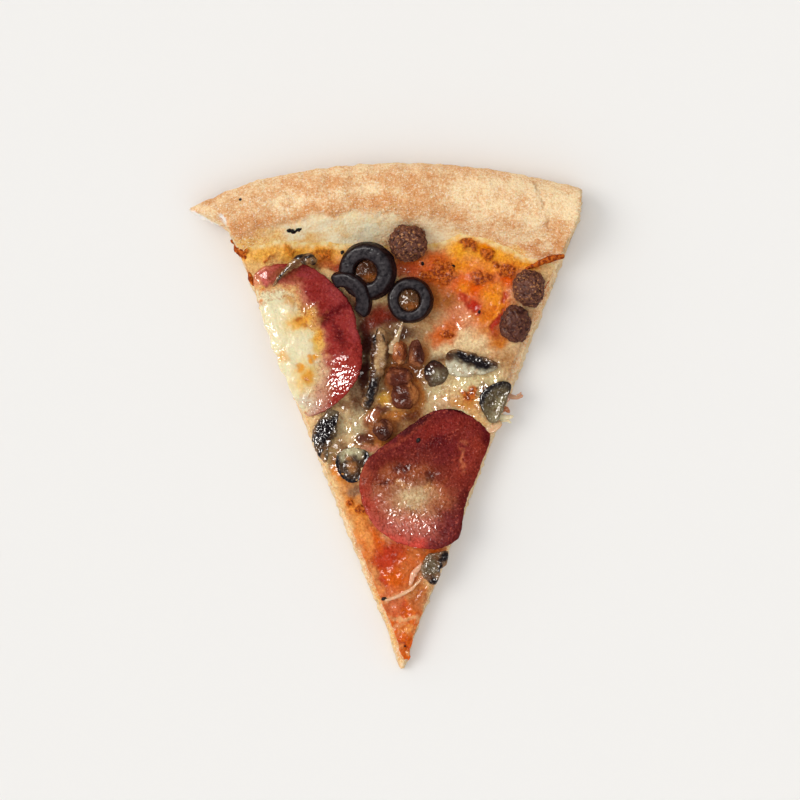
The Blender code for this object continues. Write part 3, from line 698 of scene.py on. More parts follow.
cheese, x, y, upper = flat_layer("melted_cheese", 0.42, left_inset, right_inset, layer_end, 3)
reach, turn = np.hypot(x, y), np.arctan2(x, y)
off_cut = reach * np.sin(CUT_LEAN - np.abs(turn))
flat_z = x * 0
near, nested = [np.min([np.hypot(x - middle_x, y - middle_y) - size
                        for middle_x, middle_y, size in places], axis=0)
                for places in (MOUNDS, NESTS)]
warp_x, warp_y = [
    place + 0.8 * cloudy(x, y, flat_z, 5, 2, seed) + 0.35 * cloudy(x, y, flat_z, 1.5, 2, seed + 2)
    for place, seed in ((x, 31), (y, 47))]
paler = 0.4 * patches(x, y, ((-38, 143.4, 15, 3.6),), 0.6)
blistered = patches(warp_x, warp_y, [spot[:5] for spot in BLISTERS], soft=0.5) * (1 - paler)
domes = np.zeros(len(x))
for spot in BLISTERS + LUMPS:
    domes = np.maximum(domes, spot[5] * patches(warp_x, warp_y, [spot[:5]], soft=0.45))
grain = cloudy(x, y, flat_z, 1.1, 2, seed=11)
wet = patches(x, y, WET, 0.5)
bubbly = patches(x, y, ((24, 132, 20, 14, -20), (-35, 142, 22, 5, 5), (0, 30, 12, 30, 0, 0.7)), 0.6)
relief = (0.32 * cloudy(x, y, flat_z, 8, 2, seed=1)
          + 0.18 * cloudy(x, y, flat_z, 2.8, 2, seed=5) * (1 + 0.5 * wet + 0.7 * bubbly)
          + domes + 0.07 * grain * (1 + 2.4 * blistered + 0.6 * bubbly)
          + 0.9 * ease(2.6, -0.6, near) + 1.7 * ease(2.6, -0.8, nested)
          - 0.45 * patches(warp_x, warp_y, SAUCY) - 0.6 * patches(warp_x, warp_y, DARK_SAUCE_AND_SHADE))
edge = ease(0, 1.4, off_cut - 0.6)
fade = ease(1, 7, reach) * ease(0, 7, layer_end(x) - reach)
thick = 0.5 + (1.6 + relief) * (0.45 + 0.55 * edge)
move_to(cheese.data, x, y,
        dough_top(x, y) + np.where(upper, (1.4 + thick) * fade - 0.55, 0.7 * fade - 0.8))
paint(cheese.data, warp_x, warp_y, (230, 192, 136), *COATS,
      ((168, 98, 48), None, ease(2.6, 0, nested) * 0.8),
      # painted shade where the glazed lumps sink into the cheese
      ((104, 52, 32), None, ease(0.8, -0.8, nested) * 0.7))
mark(cheese.data, "blistered", blistered)
# painted shade: the cheese is darkened where it meets the toppings and the lumps of meat
mark(cheese.data, "painted_shade", ease(1.8, -0.3, np.minimum(near, nested)))
wetten(cheese.data, wet, 1.0)
ending = ease(5, 0.5, layer_end(x) - reach + 0.8 * cloudy(x, y, flat_z, 3, 2, seed=2))
mark(cheese.data, "ending", ending * (1 - 0.9 * blistered))

melt = Finish("melted cheese", roughness=0.2, specular_ior_level=0.02, coat_roughness=0.1,
              subsurface_weight=0.15, subsurface_scale=0.0015)
mottle = melt.clouds(2.4, detail=5, roughness=0.6)
speckle = melt.clouds(0.9, detail=3, roughness=0.65, seed=0.2)
blotch = melt.step(melt.clouds(1.0, detail=3, roughness=0.6, seed=0.4), 0.38, 0.6)
colour = melt.painted(mottle, speckle, 0.75, 0.6)
browned = melt.step(melt.marked("blistered") + (mottle - 0.5) * 0.3, 0.12, 0.88)
colour = melt.mix(browned * 0.94, colour,
                  melt.mix(blotch, shade(208, 106, 34), shade(126, 46, 16)))
# painted shade beside the toppings and the lumps
colour = melt.mix(melt.marked("painted_shade") * 0.28, colour, shade(120, 66, 34))
ending = melt.step(melt.marked("ending") + (mottle - 0.5) * 0.5, 0.1, 0.9)
colour = melt.mix(ending, colour, melt.mix(melt.step(mottle, 0.4, 0.65), shade(250, 222, 164),
                                           shade(240, 186, 100)))
melt.surface_gets(base_color=colour, coat_weight=melt.marked("wet"))
blister_grain = melt.marked("blistered") * melt.clouds(0.8, detail=0) * 0.6
melt.bump(melt.clouds(1.0, detail=1, seed=0.7) + blister_grain, depth=0.5)
fit_out(cheese, melt, "melted_cheese", "cheese")

# The two slices of salami.
# Thin slices of cured, marbled sausage. They have cupped in the heat: the rims stand up, darker
# and drier, and the hollows hold melted cheese and glistening fat.
cheese_top = height_over("cheese")


def wrap(name, across, along, place):
    """A closed skin: a net of across by along faces, folded into shape by place(u, v), sewn up."""
    bm = bmesh.new()
    bmesh.ops.create_grid(bm, x_segments=across, y_segments=along, size=0.5)
    mesh = mesh_of(bm, name)
    u, v = columns_of(mesh)[:2] + 0.5
    move_to(mesh, *place(u, v))
    bm = bmesh_of(mesh)
    bmesh.ops.remove_doubles(bm, verts=bm.verts, dist=0.002 * MM)
    bmesh.ops.recalc_face_normals(bm, faces=bm.faces)
    bm.to_mesh(mesh)
    bm.free()
    return set_out(name, mesh)


def pillow(name, middle, outline, spacing, rim, heights, ragged=0.14):
    """A flat piece with a rounded edge. The outline is a list of places going round the middle, and
    heights(x, y, share) gives its lower and upper face: share is 0 at the middle, 1 at the rim."""
    crowding, rounding = 1.3, 8  # of the rings towards the rim, and of the outline's corners
    corners = np.array(outline, float) - middle
    bearings = np.unwrap(np.arctan2(corners[:, 1], corners[:, 0]))
    lengths = np.hypot(*corners.T)
    if bearings[-1] < bearings[0]:
        bearings, lengths = bearings[::-1], lengths[::-1]
    even = np.linspace(0, 2 * math.pi, 361)  # every degree
    lengths = np.interp(even, np.sort(bearings % (2 * math.pi)),
                        lengths[np.argsort(bearings % (2 * math.pi))], period=2 * math.pi)
    for _ in range(rounding):
        lengths[:-1] = (lengths[:-1] + np.roll(lengths[:-1], 1) + np.roll(lengths[:-1], -1)) / 3
    lengths[-1] = lengths[0]
    wide = lengths.max()
    spokes, rings = round(2 * math.pi * wide / spacing), round(wide / spacing)

    def place(u, v):
        bearing = 2 * math.pi * u
        share = 1 - np.abs(2 * v - 1) ** crowding
        length = np.interp(bearing, even, lengths)
        length = length + ragged * cloudy(np.cos(bearing) * wide, np.sin(bearing) * wide,
                                          bearing * 0, 2.2, 3, seed=middle[0])
        x = middle[0] + length * share * np.cos(bearing)
        y = middle[1] + length * share * np.sin(bearing)
        lower, higher = heights(x, y, share)
        roundness = np.sqrt(1 - np.clip(1 - length * (1 - share) / rim, 0, 1) ** 2)
        swell = (higher - lower) / 2 * roundness
        return x, y, (higher + lower) / 2 + np.where(v <= 0.5, swell, -swell)

    return wrap(name, spokes, 2 * rings, place)


def inside(x, y, outline):
    """How far inside an outline each point lies, in millimetres: less than 0 outside it."""
    nearest = np.full(len(x), 99.0)
    within = np.zeros(len(x), bool)
    for (from_x, from_y), (to_x, to_y) in zip(outline, outline[1:] + outline[:1]):
        run, rise = to_x - from_x, to_y - from_y
        share = np.clip(((x - from_x) * run + (y - from_y) * rise) / (run ** 2 + rise ** 2), 0, 1)
        nearest = np.minimum(nearest, np.hypot(x - from_x - share * run, y - from_y - share * rise))
        if rise:
            within ^= ((from_y > y) != (to_y > y)) & (x < from_x + run * (y - from_y) / rise)
    return np.where(within, nearest, -nearest)


def greasy_food(name, deep, pale, depth, shine=0.1, fat=0.0, **constants):
    """A painted finish that is dull where dry, and has a film of fat over it where marked wet; some
    have fine flecks of fat."""
    finish = Finish(name, roughness=0.2, specular_ior_level=shine, coat_roughness=0.1, **constants)
    mottle = finish.clouds(2.4, detail=5, roughness=0.62, seed=0.5)
    speckle = finish.clouds(0.95, detail=3, roughness=0.65, seed=0.9)
    colour = finish.painted(mottle, speckle, deep, pale)
    if fat:
        marbled = finish.clouds(0.8, detail=3, roughness=0.6, seed=1.3)
        colour = finish.mix(finish.step(marbled, 0.56, 0.68) * fat, colour, shade(190, 88, 68))
        colour = finish.mix(finish.step(marbled, 0.42, 0.34) * fat * 0.9, colour, shade(74, 20, 20))
    finish.surface_gets(base_color=colour, coat_weight=finish.marked("wet"))
    finish.bump(finish.clouds(1.0, detail=1, seed=0.3), depth=depth)
    return finish


LEFT_RIM = ((-28.5, 136.4), (-22.2, 131), (-17.5, 125.4), (-15.6, 117), (-13.7, 107.9),
            (-14.3, 102), (-17.5, 96.3), (-22.6, 91.3), (-28, 88), (-32.5, 86.5), (-35.4, 91),
            (-38, 98.5), (-41, 106), (-44.2, 114.5), (-47.2, 122), (-50.2, 130.5), (-51.5, 135),
            (-48, 138), (-42.5, 139), (-38, 139.4), (-33, 139))


def left_heights(x, y, share):
    lower = cheese_top(x, y) + 0.1
    from_side = np.hypot(x + 15, np.maximum(np.abs(y - 106) - 9, 0)) - 3
    cup = 1.9 * ease(9, -1, from_side) * ease(85, 92, y) * ease(134, 118, y)
    droop = 1.0 * ease(0.86, 1, share) * ease(-20, -40, x)
    ripple = 0.14 * cloudy(x, y, x * 0, 5, 2, seed=8) + 0.03 * cloudy(x, y, x * 0, 1.6, 2, seed=4)
    return lower + cup * 0.75 - droop, lower + 1.9 + cup + ripple - droop


salami_left = pillow("salami_left", (-31, 113), LEFT_RIM, 0.36, 0.9, left_heights)
x, y, z = points_of(salami_left.data)
CREAMY_AREA = [(-37, 131), (-34.6, 125), (-31.4, 119.5), (-28.8, 114), (-27.6, 108), (-27.6, 102),
               (-28.2, 97), (-31, 91.5), (-34, 86), (-60, 88), (-66, 128), (-50, 131.5)]


def wavered(x, y, z, by, size, octaves, seed_x, seed_y):
    """The x and y of each point shifted a little, so that ovals painted by them look uneven."""
    return (x + by * cloudy(x, y, z, size, octaves, seed_x),
            y + by * cloudy(x, y, z, size, octaves, seed_y))


def paint_left(mesh):
    """The slice of salami on the left with the cheese on it: both pieces take these colours."""
    x, y, z = points_of(mesh)
    warp_x, warp_y = wavered(x, y, z, 0.8, 3, 3, 3, 5)
    depth = inside(warp_x, warp_y, CREAMY_AREA)
    paint(mesh, warp_x, warp_y, (149, 47, 43),
          ((156, 58, 58), 0.8, (
              (-22, 129, 9, 3, -52), (-33, 136.4, 7, 2), (-16.4, 117, 1.8, 8, -5))),
          ((100, 18, 22), 0.7, (
              (-26, 120.6, 1.6, 12, 125), (-20.6, 112, 1.6, 9, 20), (-15.2, 106, 1.2, 6, 5))),
          ((172, 58, 48), 0.9, ((-20, 101, 5, 8, -12), (-29, 91, 7, 4, 20))),
          ((202, 122, 94), None, ease(-4.5, -0.8, depth) * ease(139, 130, y)),
          ((206, 104, 92), 0.7, ((-46.5, 134.6, 5, 3.4, 10),)),
          ((224, 146, 104), 0.7, ((-50.6, 133.4, 1.8, 4, 10), (-48, 137.4, 3, 1, 10, 0.7))),
          ((146, 74, 46), 0.6, (
              (-41, 136, 4.4, 1.6, 8), (-45, 131.6, 3, 1.0, 40, 0.8), (-36, 134, 3, 1.4, 0, 0.7))),
          ((232, 180, 116), None, ease(-1.6, 0.6, depth)),
          ((238, 224, 182), None, ease(0.2, 2.0, depth)),
          ((224, 190, 152), 0.85, ((-28.8, 101, 3, 7, 5, 0.85),)),
          ((228, 206, 180), 0.8, ((-32, 92.4, 3, 4, 25, 0.9),)),
          ((206, 146, 122), 0.8, ((-27.0, 92.4, 2.4, 4, 20, 0.7),)),
          ((234, 188, 120), 0.8, ((-40.6, 107.6, 1.6, 2.2, 20),)),
          ((238, 188, 92), 0.9, (
              (-33, 100.4, 3.4, 4.8, 10, 0.9), (-34.6, 119.6, 5, 3.4, 20), (-29, 113, 1.8, 5, 10))),
          ((214, 162, 96), 0.8, ((-38.6, 126.8, 2.2, 2.2), (-30.4, 122.6, 1.6, 2.6, 10, 0.6))),
          ((236, 162, 60), 0.7, (
              (-34.4, 119.8, 3.6, 2.0, 30), (-30.2, 107, 1.4, 1.4), (-35, 103.6, 1.3, 1.2),
              (-32.6, 100.3, 2.1, 1.6), (-28.6, 114.4, 0.9, 2), (-47.6, 130.2, 1.6, 1.2, 60, 0.8))),
          ((172, 84, 32), 0.6, (
              (-35.8, 120.2, 1.3, 0.8, 30, 0.8), (-32.8, 99.6, 0.8, 0.5, 0, 0.5),
              (-33, 118.4, 1.2, 0.7, 0, 0.6), (-34, 123.4, 0.4, 2.2, 10, 0.6))),
          ((222, 128, 58), 0.7, (
              (-48.4, 125.8, 0.8, 1.6, 112, 0.8), (-46.6, 130, 1.2, 1.0, 0, 0.8))))


paint_left(salami_left.data)
greasy = patches(x, y, (
    (-20.2, 99, 6.8, 7.4, -20), (-29, 90, 8, 4, 20), (-47, 134, 6, 4, 0, 0.25),
    (-27, 102, 3, 7, 0, 0.4), (-33, 124, 4, 7, 30, 0.4), (-19.6, 90, 5, 5)), 0.5)
wetten(salami_left.data, greasy, 0.75)
cured = greasy_food("salami", 0.9, 0.25, 0.5, shine=0.006, fat=0.4, subsurface_weight=0.1,
                    subsurface_scale=0.001)
fit_out(salami_left, cured, "salami", "salami_left")

RIGHT_RIM = ((-14.7, 65), (-13.2, 56.5), (-9.1, 49), (-2.8, 44.4), (3.7, 42.3), (10.8, 41.5),
             (16.3, 43), (19.9, 45.6), (20.6, 50.8), (21.4, 56), (23, 61.1), (25.3, 65.4),
             (27.3, 71.3), (29.3, 76.5), (30.9, 80.2), (29.4, 82.3), (26.1, 85.4), (22.2, 88.1),
             (18.6, 89.4), (14.7, 89.6), (10.8, 88.9), (7.6, 87.3), (4.5, 84.9), (0.5, 82.2),
             (-3.4, 79), (-8.2, 75.4), (-11.9, 72.4), (-13.6, 69))


def right_heights(x, y, share):
    lower = cheese_top(x, y) + 0.1
    toward = (x - 7) * -0.62 + (y - 66) * 0.78  # towards the curled upper left
    cup = 3.0 * ease(8, 19, toward) + 1.6 * ease(0.72, 1, share) * ease(62, 48, y)
    ridge = 0.7 * patches(x, y, ((12, 75, 12, 4, 35),), soft=0.8)
    droop = 1.6 * ease(0.82, 1, share) * ease(14, 24, x)
    ripple = 0.12 * cloudy(x, y, x * 0, 6, 2, seed=18) + 0.02 * cloudy(x, y, x * 0, 1.6, 2, seed=14)
    return lower + cup * 0.8 - droop, lower + 1.8 + cup + ridge + ripple - droop


salami_right = pillow("salami_right", (7, 66), RIGHT_RIM, 0.5, 0.8, right_heights)
x, y, z = points_of(salami_right.data)


def paint_right(mesh):
    """The slice of salami on the right with the cheese on it: both pieces take these colours."""
    x, y, z = points_of(mesh)
    paint(mesh, *wavered(x, y, z, 0.9, 3.5, 3, 3, 5), (113, 33, 38),
          ((148, 54, 40), 0.9, ((22, 66, 6, 10), (15, 82, 10, 4, 10), (26, 76, 4, 6))),
          # the meat's own dark maroon, deepened as painted shade across the upper part and down the
          # right side
          ((96, 23, 27), 0.8, (
              (11, 77.6, 9, 3.0, 32), (20, 56, 2.6, 9, -10), (28.6, 80, 1.6, 4, 20))),
          ((138, 44, 38), 0.7, ((13.4, 83.4, 7, 2.2, 20),)),
          ((56, 12, 16), 0.6, (
              (19.0, 46.6, 2.2, 3.6, -20), (2.6, 84.2, 13, 0.8, 34), (17, 89.2, 8, 0.7, -4))),
          ((150, 62, 48), 0.7, ((1.6, 80.6, 11, 0.9, 34),)),
          ((84, 30, 32), 0.7, ((5.0, 85.0, 8, 1.5, 34),)),
          ((186, 84, 62), 0.8, ((-12.4, 65, 2, 8, 5),)),
          ((222, 60, 48), 0.75, (
              (-9.4, 54, 2.8, 8, 28), (-2, 46.4, 7, 2.6, -20), (5, 43.8, 5, 2.2))),
          ((134, 58, 37), 0.9, ((1, 62, 13.5, 10.5), (4, 67, 11, 5))),
          ((158, 80, 46), 0.8, (
              (-4, 67.5, 3.6, 2.6, 20), (5.6, 67.6, 4, 2.6, -5), (11.4, 61, 2.2, 4),
              (-8, 62, 2, 3))),
          ((94, 34, 24), 0.7, (
              (0.6, 69.4, 2.4, 1.2), (9.4, 65.4, 1.2, 2.4), (-6.4, 64.4, 2, 1, 30))),
          ((208, 116, 98), 0.95, ((2, 51, 11, 5.4, -10), (-6, 56, 4, 5, 30, 0.3))),
          ((184, 78, 62), 0.8, ((-7, 53.4, 2.6, 3.6, 0, 0.8),)),
          ((170, 74, 42), 0.8, ((13.4, 58.6, 2.4, 5),)),
          ((194, 134, 90), 0.95, ((4, 57.8, 9.2, 5.2),)),
          ((214, 184, 138), 0.85, ((3.6, 59.4, 5.0, 3.2, 8),)),
          ((112, 40, 40), 0.8, ((16.6, 48.6, 3.8, 6.4, 10), (13.6, 43.6, 4.6, 1.8, 10))),
          ((206, 146, 92), 0.7, ((8.8, 62.6, 1.8, 1.2, 0, 0.8), (-0.6, 63.6, 2.4, 0.9, 10, 0.6))),
          ((202, 112, 76), 0.6, ((20.6, 72.2, 3.4, 0.7, 102), (21.6, 79, 1.4, 0.9, 0, 0.5))))


paint_right(salami_right.data)
greasy = patches(x, y, (
    (1.6, 49.2, 9.6, 4.8, -12, 0.85), (-9.5, 57, 3, 8, 20, 0.15), (8, 44.6, 4, 2, 0, 0.35)), 0.5)
wetten(salami_right.data, greasy, 0.95, 0.26)
dry_cured = greasy_food("dry salami", 1.0, 0.25, 0.7, shine=0.012, fat=0.6, subsurface_weight=0.05,
                        subsurface_scale=0.001)
fit_out(salami_right, dry_cured, "salami", "salami_right")

# The cheese melted on the salami.
# What was scattered over the two slices of salami: a thick creamy patch running off the left
# cut, and a thin browned film with one white lump in the hollow of the right slice.
LEFT_PATCH = ((-37.2, 129), (-35.4, 124), (-31.2, 119.5), (-29.3, 114.5), (-27.4, 110),
              (-27.7, 103), (-27.6, 98), (-31, 92.5), (-34, 88.6), (-37.2, 94), (-39.7, 100.5),
              (-42.4, 107.5), (-45, 114), (-47.8, 121), (-49.2, 125.2), (-47.5, 127.6),
              (-44, 129.4), (-40.6, 130.6))


def left_patch_heights(x, y, share):
    under = left_heights(x, y, share * 0.9)[1]
    thick = 1.1 * (1 - share ** 3) + 0.2 * cloudy(x, y, x * 0, 4, 2, seed=6)
    return (under - 0.8 - 1.2 * ease(0.9, 1, share) * ease(-34, -44, x),
            under - 0.1 + thick * ease(1.0, 0.6, share))


patch_left = pillow("melted_cheese_left", (-38, 110), LEFT_PATCH, 0.36, 0.8, left_patch_heights)
x, y, z = points_of(patch_left.data)
paint_left(patch_left.data)
greasy = patches(x, y, (
    (-27.6, 100, 2.4, 10), (-32, 90.6, 5, 4, 30), (-30.5, 121, 2.4, 7, -35, 0.4),
    (-44, 113, 2.4, 14, 20, 0.4), (-37, 110, 7, 16, 20, 0.12)), 0.6)
wetten(patch_left.data, greasy, 0.8)
creamy = greasy_food("creamy cheese", 0.16, 0.2, 0.3, shine=0.05, subsurface_weight=0.2,
                     subsurface_scale=0.002)
fit_out(patch_left, creamy, "melted_cheese", "melted_cheese_left")

FILM_RIM = ((-12.6, 65), (-11.9, 58), (-8.6, 51.5), (-3, 47), (3.4, 45), (9, 45.4), (13.4, 48.5),
            (15.6, 53), (16.4, 58), (16.6, 63.5), (15, 69), (11, 72.5), (6, 72.5), (1, 72),
            (-3.5, 73), (-7.5, 71.5), (-10.8, 69))


def film_heights(x, y, share):
    under = right_heights(x, y, np.hypot(x - 7, y - 66) / 24)[1]
    lumps = (0.16 * cloudy(x, y, x * 0, 2.6, 2, seed=2)
             + 0.8 * patches(x, y, ((3, 59.8, 6, 4.6),), 0.7))
    return under - 0.6, under + (0.6 + lumps) * ease(1.0, 0.6, share) - 0.2


film = pillow("melted_cheese_right", (2.5, 60), FILM_RIM, 0.36, 0.6, film_heights)
x, y, z = points_of(film.data)
paint_right(film.data)
greasy = patches(x, y, (
    (2, 51, 12, 5.4, -10), (1, 67, 12, 5, 0, 0.15), (12, 60, 4, 8, 0, 0.3),
    (-8, 56, 3, 6, 20, 0.25)), 0.5)
wetten(film.data, greasy, 1.0, 0.36)
glaze = greasy_food("cheese film", 0.9, 0.4, 0.8, shine=0.05, subsurface_weight=0.1,
                    subsurface_scale=0.001)
fit_out(film, glaze, "melted_cheese", "melted_cheese_right")

# The black olives.
# Brined olives, stoned and cut across into rings: black skins, softer black cut faces, and
# browned cheese risen through the holes. The two lowest slices are sunk in the cheese.
def ring(name, middle, outer, inner, height, lean, lean_toward, start=0, sweep=360, flare=0.0):
    """A ring, or an arc of one, with a rounded square section, wider below by its flare; it leans
    towards a bearing."""
    spacing, squareness, taper_share = 0.4, 0.55, 0.09
    half_wide, radius = (outer - inner) / 2, (outer + inner) / 2
    around = round(math.radians(sweep) * outer / spacing)
    across = round((4 * half_wide + 2 * height) / spacing)
    way = Vector((math.cos(math.radians(lean_toward)), math.sin(math.radians(lean_toward)), 0))
    turned = Matrix.Rotation(math.radians(lean), 3, Vector((0, 0, 1)).cross(way))

    def place(u, v):
        bearing = np.radians(start + sweep * u)
        taper = 1.0 if sweep == 360 else np.sqrt(
            1 - np.clip(1 - (0.5 - np.abs(u - 0.5)) / taper_share, 0, 1) ** 2.5)
        sideways, upward = np.cos(2 * np.pi * v), np.sin(2 * np.pi * v)
        sideways = np.sign(sideways) * np.abs(sideways) ** squareness
        upward = np.sign(upward) * np.abs(upward) ** squareness
        dish = 0.16 * (1 - sideways ** 2) * ease(0.5, 0.9, upward)
        out = radius + half_wide * sideways * taper + flare * (1 - upward) * (1 + sideways) / 4
        up = (height / 2 * upward - dish) * taper
        x, y = out * np.cos(bearing), out * np.sin(bearing)
        uneven = 1 + 0.012 * cloudy(x, y, up, 3, 2, seed=middle[0])
        leaning = np.stack((x * uneven, y * uneven, up), axis=1) @ np.array(turned).T
        return (leaning + middle).T

    return wrap(name, around, across, place)


olive = Finish("black olive", specular_ior_level=0.05)
flesh = olive.clouds(1.4, detail=4, roughness=0.6)
darker, paler = [olive.mix(olive.marked("face"), shade(*skin), shade(*face)) for skin, face in (
    ((24, 14, 14), (30, 27, 30)), ((46, 26, 26), (60, 54, 56)))]
olive.surface_gets(base_color=olive.mix(olive.step(flesh, 0.3, 0.7), darker, paler),
                   roughness=olive.step(flesh, 0.3, 0.6) * 0.2 + 0.16)
olive.bump(olive.clouds(1.6, detail=1), depth=0.2)
for node, middle, sizes in (
        ("olive_1", (-12.1, 136.6), dict(outer=9.2, inner=4.0, height=6.0, lean=17, lean_toward=205,
                                         flare=1.4)),
        ("olive_2", (-19.8, 126.8), dict(outer=10.0, inner=4.8, height=4.8, lean=27,
                                         lean_toward=215, start=-40, sweep=160)),
        ("olive_3", (2.7, 126.8), dict(outer=7.3, inner=3.8, height=5.0, lean=9, lean_toward=190,
                                       flare=1.0))):
    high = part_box(node)[1]
    slice_of_olive = ring(node, (*middle, 0), **sizes)
    x, y, z = points_of(slice_of_olive.data)
    move_to(slice_of_olive.data, x, y, z + high.z / MM - z.max() + 0.1)
    upward = columns_of(slice_of_olive.data, "normal")[2]
    mark(slice_of_olive.data, "face", ease(0.6, 0.95, upward))
    fit_out(slice_of_olive, olive, "black_olive", node)

OVAL_RIM = ((26.4, 91.7), (26.7, 94.2), (28.6, 96.5), (31.7, 98.3), (34.9, 99.2), (37.2, 98.6),
            (37.4, 96.3), (36.1, 93.5), (34.9, 90.4), (33.6, 87.3), (32.4, 84.8), (30.5, 84.6),
            (28.6, 87.1), (27.1, 89.6))
SUNK_RIM = ((-22.7, 72), (-21.8, 68), (-19.6, 65.1), (-16.7, 64.1), (-14.2, 65.5), (-12.8, 69),
            (-11.2, 73.2), (-12, 75), (-14.2, 75.8), (-17, 76.4), (-20.7, 75.2), (-22.4, 73.6))
mushroom = greasy_food("cooked mushroom", 0.85, 0.5, 0.7, shine=0.05)


def lay(name, middle, outline, edge, sunk, thick, ragged=0.14, spacing=0.35):
    """A slice lying in the cheese, its lower face sunk into it; thick(x, y, share) is how thick."""
    def heights(x, y, share):
        lower = cheese_top(x, y) - sunk
        return lower, lower + thick(x, y, share)

    return pillow(name, middle, outline, spacing, edge, heights, ragged)


def finish_soft(piece, slot, node, waver, wet, colour, *coats):
    """Paints a soft slice of olive or mushroom, wets it, and puts it in its solid's place."""
    x, y, z = points_of(piece.data)
    paint(piece.data, *wavered(x, y, z, *waver), colour, *coats)
    wetten(piece.data, x * 0 + wet)
    fit_out(piece, mushroom, slot, node)


olive_oval = lay("olive_5", (32, 91.6), OVAL_RIM, 0.7, 0.3, lambda x, y, share: (
    2.3 - 0.7 * ease(0.85, 0.3, share) + 0.12 * cloudy(x, y, x * 0, 2, 2, seed=2)))
finish_soft(olive_oval, "black_olive", "olive_5", (0.4, 2, 2, 9, 13), 0.4, (36, 31, 32),
            ((118, 104, 74), 0.35, ((32.6, 90.6, 4.2, 6.4, -22),)),
            ((84, 72, 52), 0.6, ((30.6, 92.4, 1, 3, -20), (33.6, 94.6, 2, 1))),
            # painted highlight: pale glints where the olive's wet face catches the light
            ((148, 138, 106), 0.6, (
                (31.6, 86.6, 1.8, 2.2, 0, 0.8), (33.4, 91, 0.8, 2.6, -20, 0.6))))
olive_sunk = lay("olive_4", (-17, 70.2), SUNK_RIM, 0.6, 0.3, lambda x, y, share: (
    1.5 + 0.9 * ease(0.9, 1.0, share) * ease(76, 73, y) + 0.7 * ease(0.7, 0, share)
    + 0.2 * cloudy(x, y, x * 0, 1.8, 2, seed=2)))
finish_soft(olive_sunk, "black_olive", "olive_4", (0.3, 2, 2, 9, 13), 0.3, (32, 32, 38),
            ((88, 64, 46), 0.2, ((-17.2, 71.2, 4.4, 5.6, 10),)),
            ((70, 50, 36), 0.6, (
                (-15.4, 71.6, 2.2, 1.4, 30), (-19.6, 70.6, 1.2, 2.4), (-17, 67, 2, 0.8))),
            ((164, 112, 66), 0.6, ((-17, 69.4, 1.6, 1.8), (-18.4, 72.6, 1.2, 1))),
            # painted highlight: pale greenish-cream glints along the top of the olive's face
            ((196, 186, 146), 0.6, (
                (-17.4, 75, 4.4, 1.4, 8), (-14.4, 73.6, 1.2, 1.2, 0, 0.7),
                (-20.4, 73, 1, 1.4, 0, 0.7))))

# The cheese in olive_1's hole is darker, partly as painted shade from the ring around it.
HOLES = (("cheese_in_olive_1", "olive_1", -11.6, 136.4, 4.3, 3.6, (84, 52, 36)),
         ("cheese_in_olive_3", "olive_3", 2.2, 126.7, 4.0, 2.2, (112, 80, 54)))
for name, node, middle_x, middle_y, size, below, browned in HOLES:
    top_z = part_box(node)[1].z / MM - below

    def fill(x, y, share):
        uneven = 0.22 * cloudy(x, y, x * 0, 1.2, 2)
        return top_z - 3 + x * 0, top_z - 1.2 * ease(0, 1, share) + uneven

    plug = pillow(name, (middle_x, middle_y), [
        (middle_x + size * math.cos(a / 3), middle_y + size * math.sin(a / 3)) for a in range(19)],
        0.25, 0.5, fill, ragged=0.0)
    x, y, z = points_of(plug.data)
    paint(plug.data, x, y, browned, ((182, 108, 48), 0.9,
                                     ((middle_x + 1.2, middle_y - 2.0, 2.4, 1.2, 0, 0.8),)))
    wetten(plug.data, x * 0 + (0.4 if node == "olive_3" else 0.15), 0.6)
    # painted shade towards the walls of the olive's hole
    mark(plug.data, "painted_shade", ease(1.4, 3.8, np.hypot(x - middle_x, y - middle_y)))
    fit_out(plug, melt, "melted_cheese")

# The meatballs.
# Three loose crumbly balls of browned mince that stayed dry, and five smaller pieces glazed with
# fat and half sunk in the cheese in the middle of the slice.
def mince(name, middle, halves, grain, depth, fine):
    """A lump of mince: a ball pressed to these half sizes, covered in grains of meat."""
    bm = bmesh.new()
    bmesh.ops.create_icosphere(bm, subdivisions=fine, radius=1)
    mesh = mesh_of(bm, name)
    x, y, z = columns_of(mesh)
    seed = middle[0] + middle[1]
    lumpy = 1 + 0.06 * cloudy(x + seed, y, z, 0.8, 3)
    x, y, z = x * halves[0] * lumpy, y * halves[1] * lumpy, z * halves[2] * lumpy
    cells = np.array([noise.voronoi(((a + seed) / grain, b / grain, c / grain))[0][0]
                      for a, b, c in zip(x, y, z)])
    raised = 0.25 * ease(0.8, 0.1, cells) + 0.4 + 0.5 * cloudy(x + seed, y, z, grain * 1.3, 3)
    out = 1 + depth * (raised - 0.5) / np.mean(halves)
    move_to(mesh, x * out + middle[0], y * out + middle[1], z * out + middle[2])
    # how high each grain stands; the dry finish uses it to paint shade into the hollows between
    # grains
    mark(mesh, "raised", raised)
    return set_out(name, mesh)


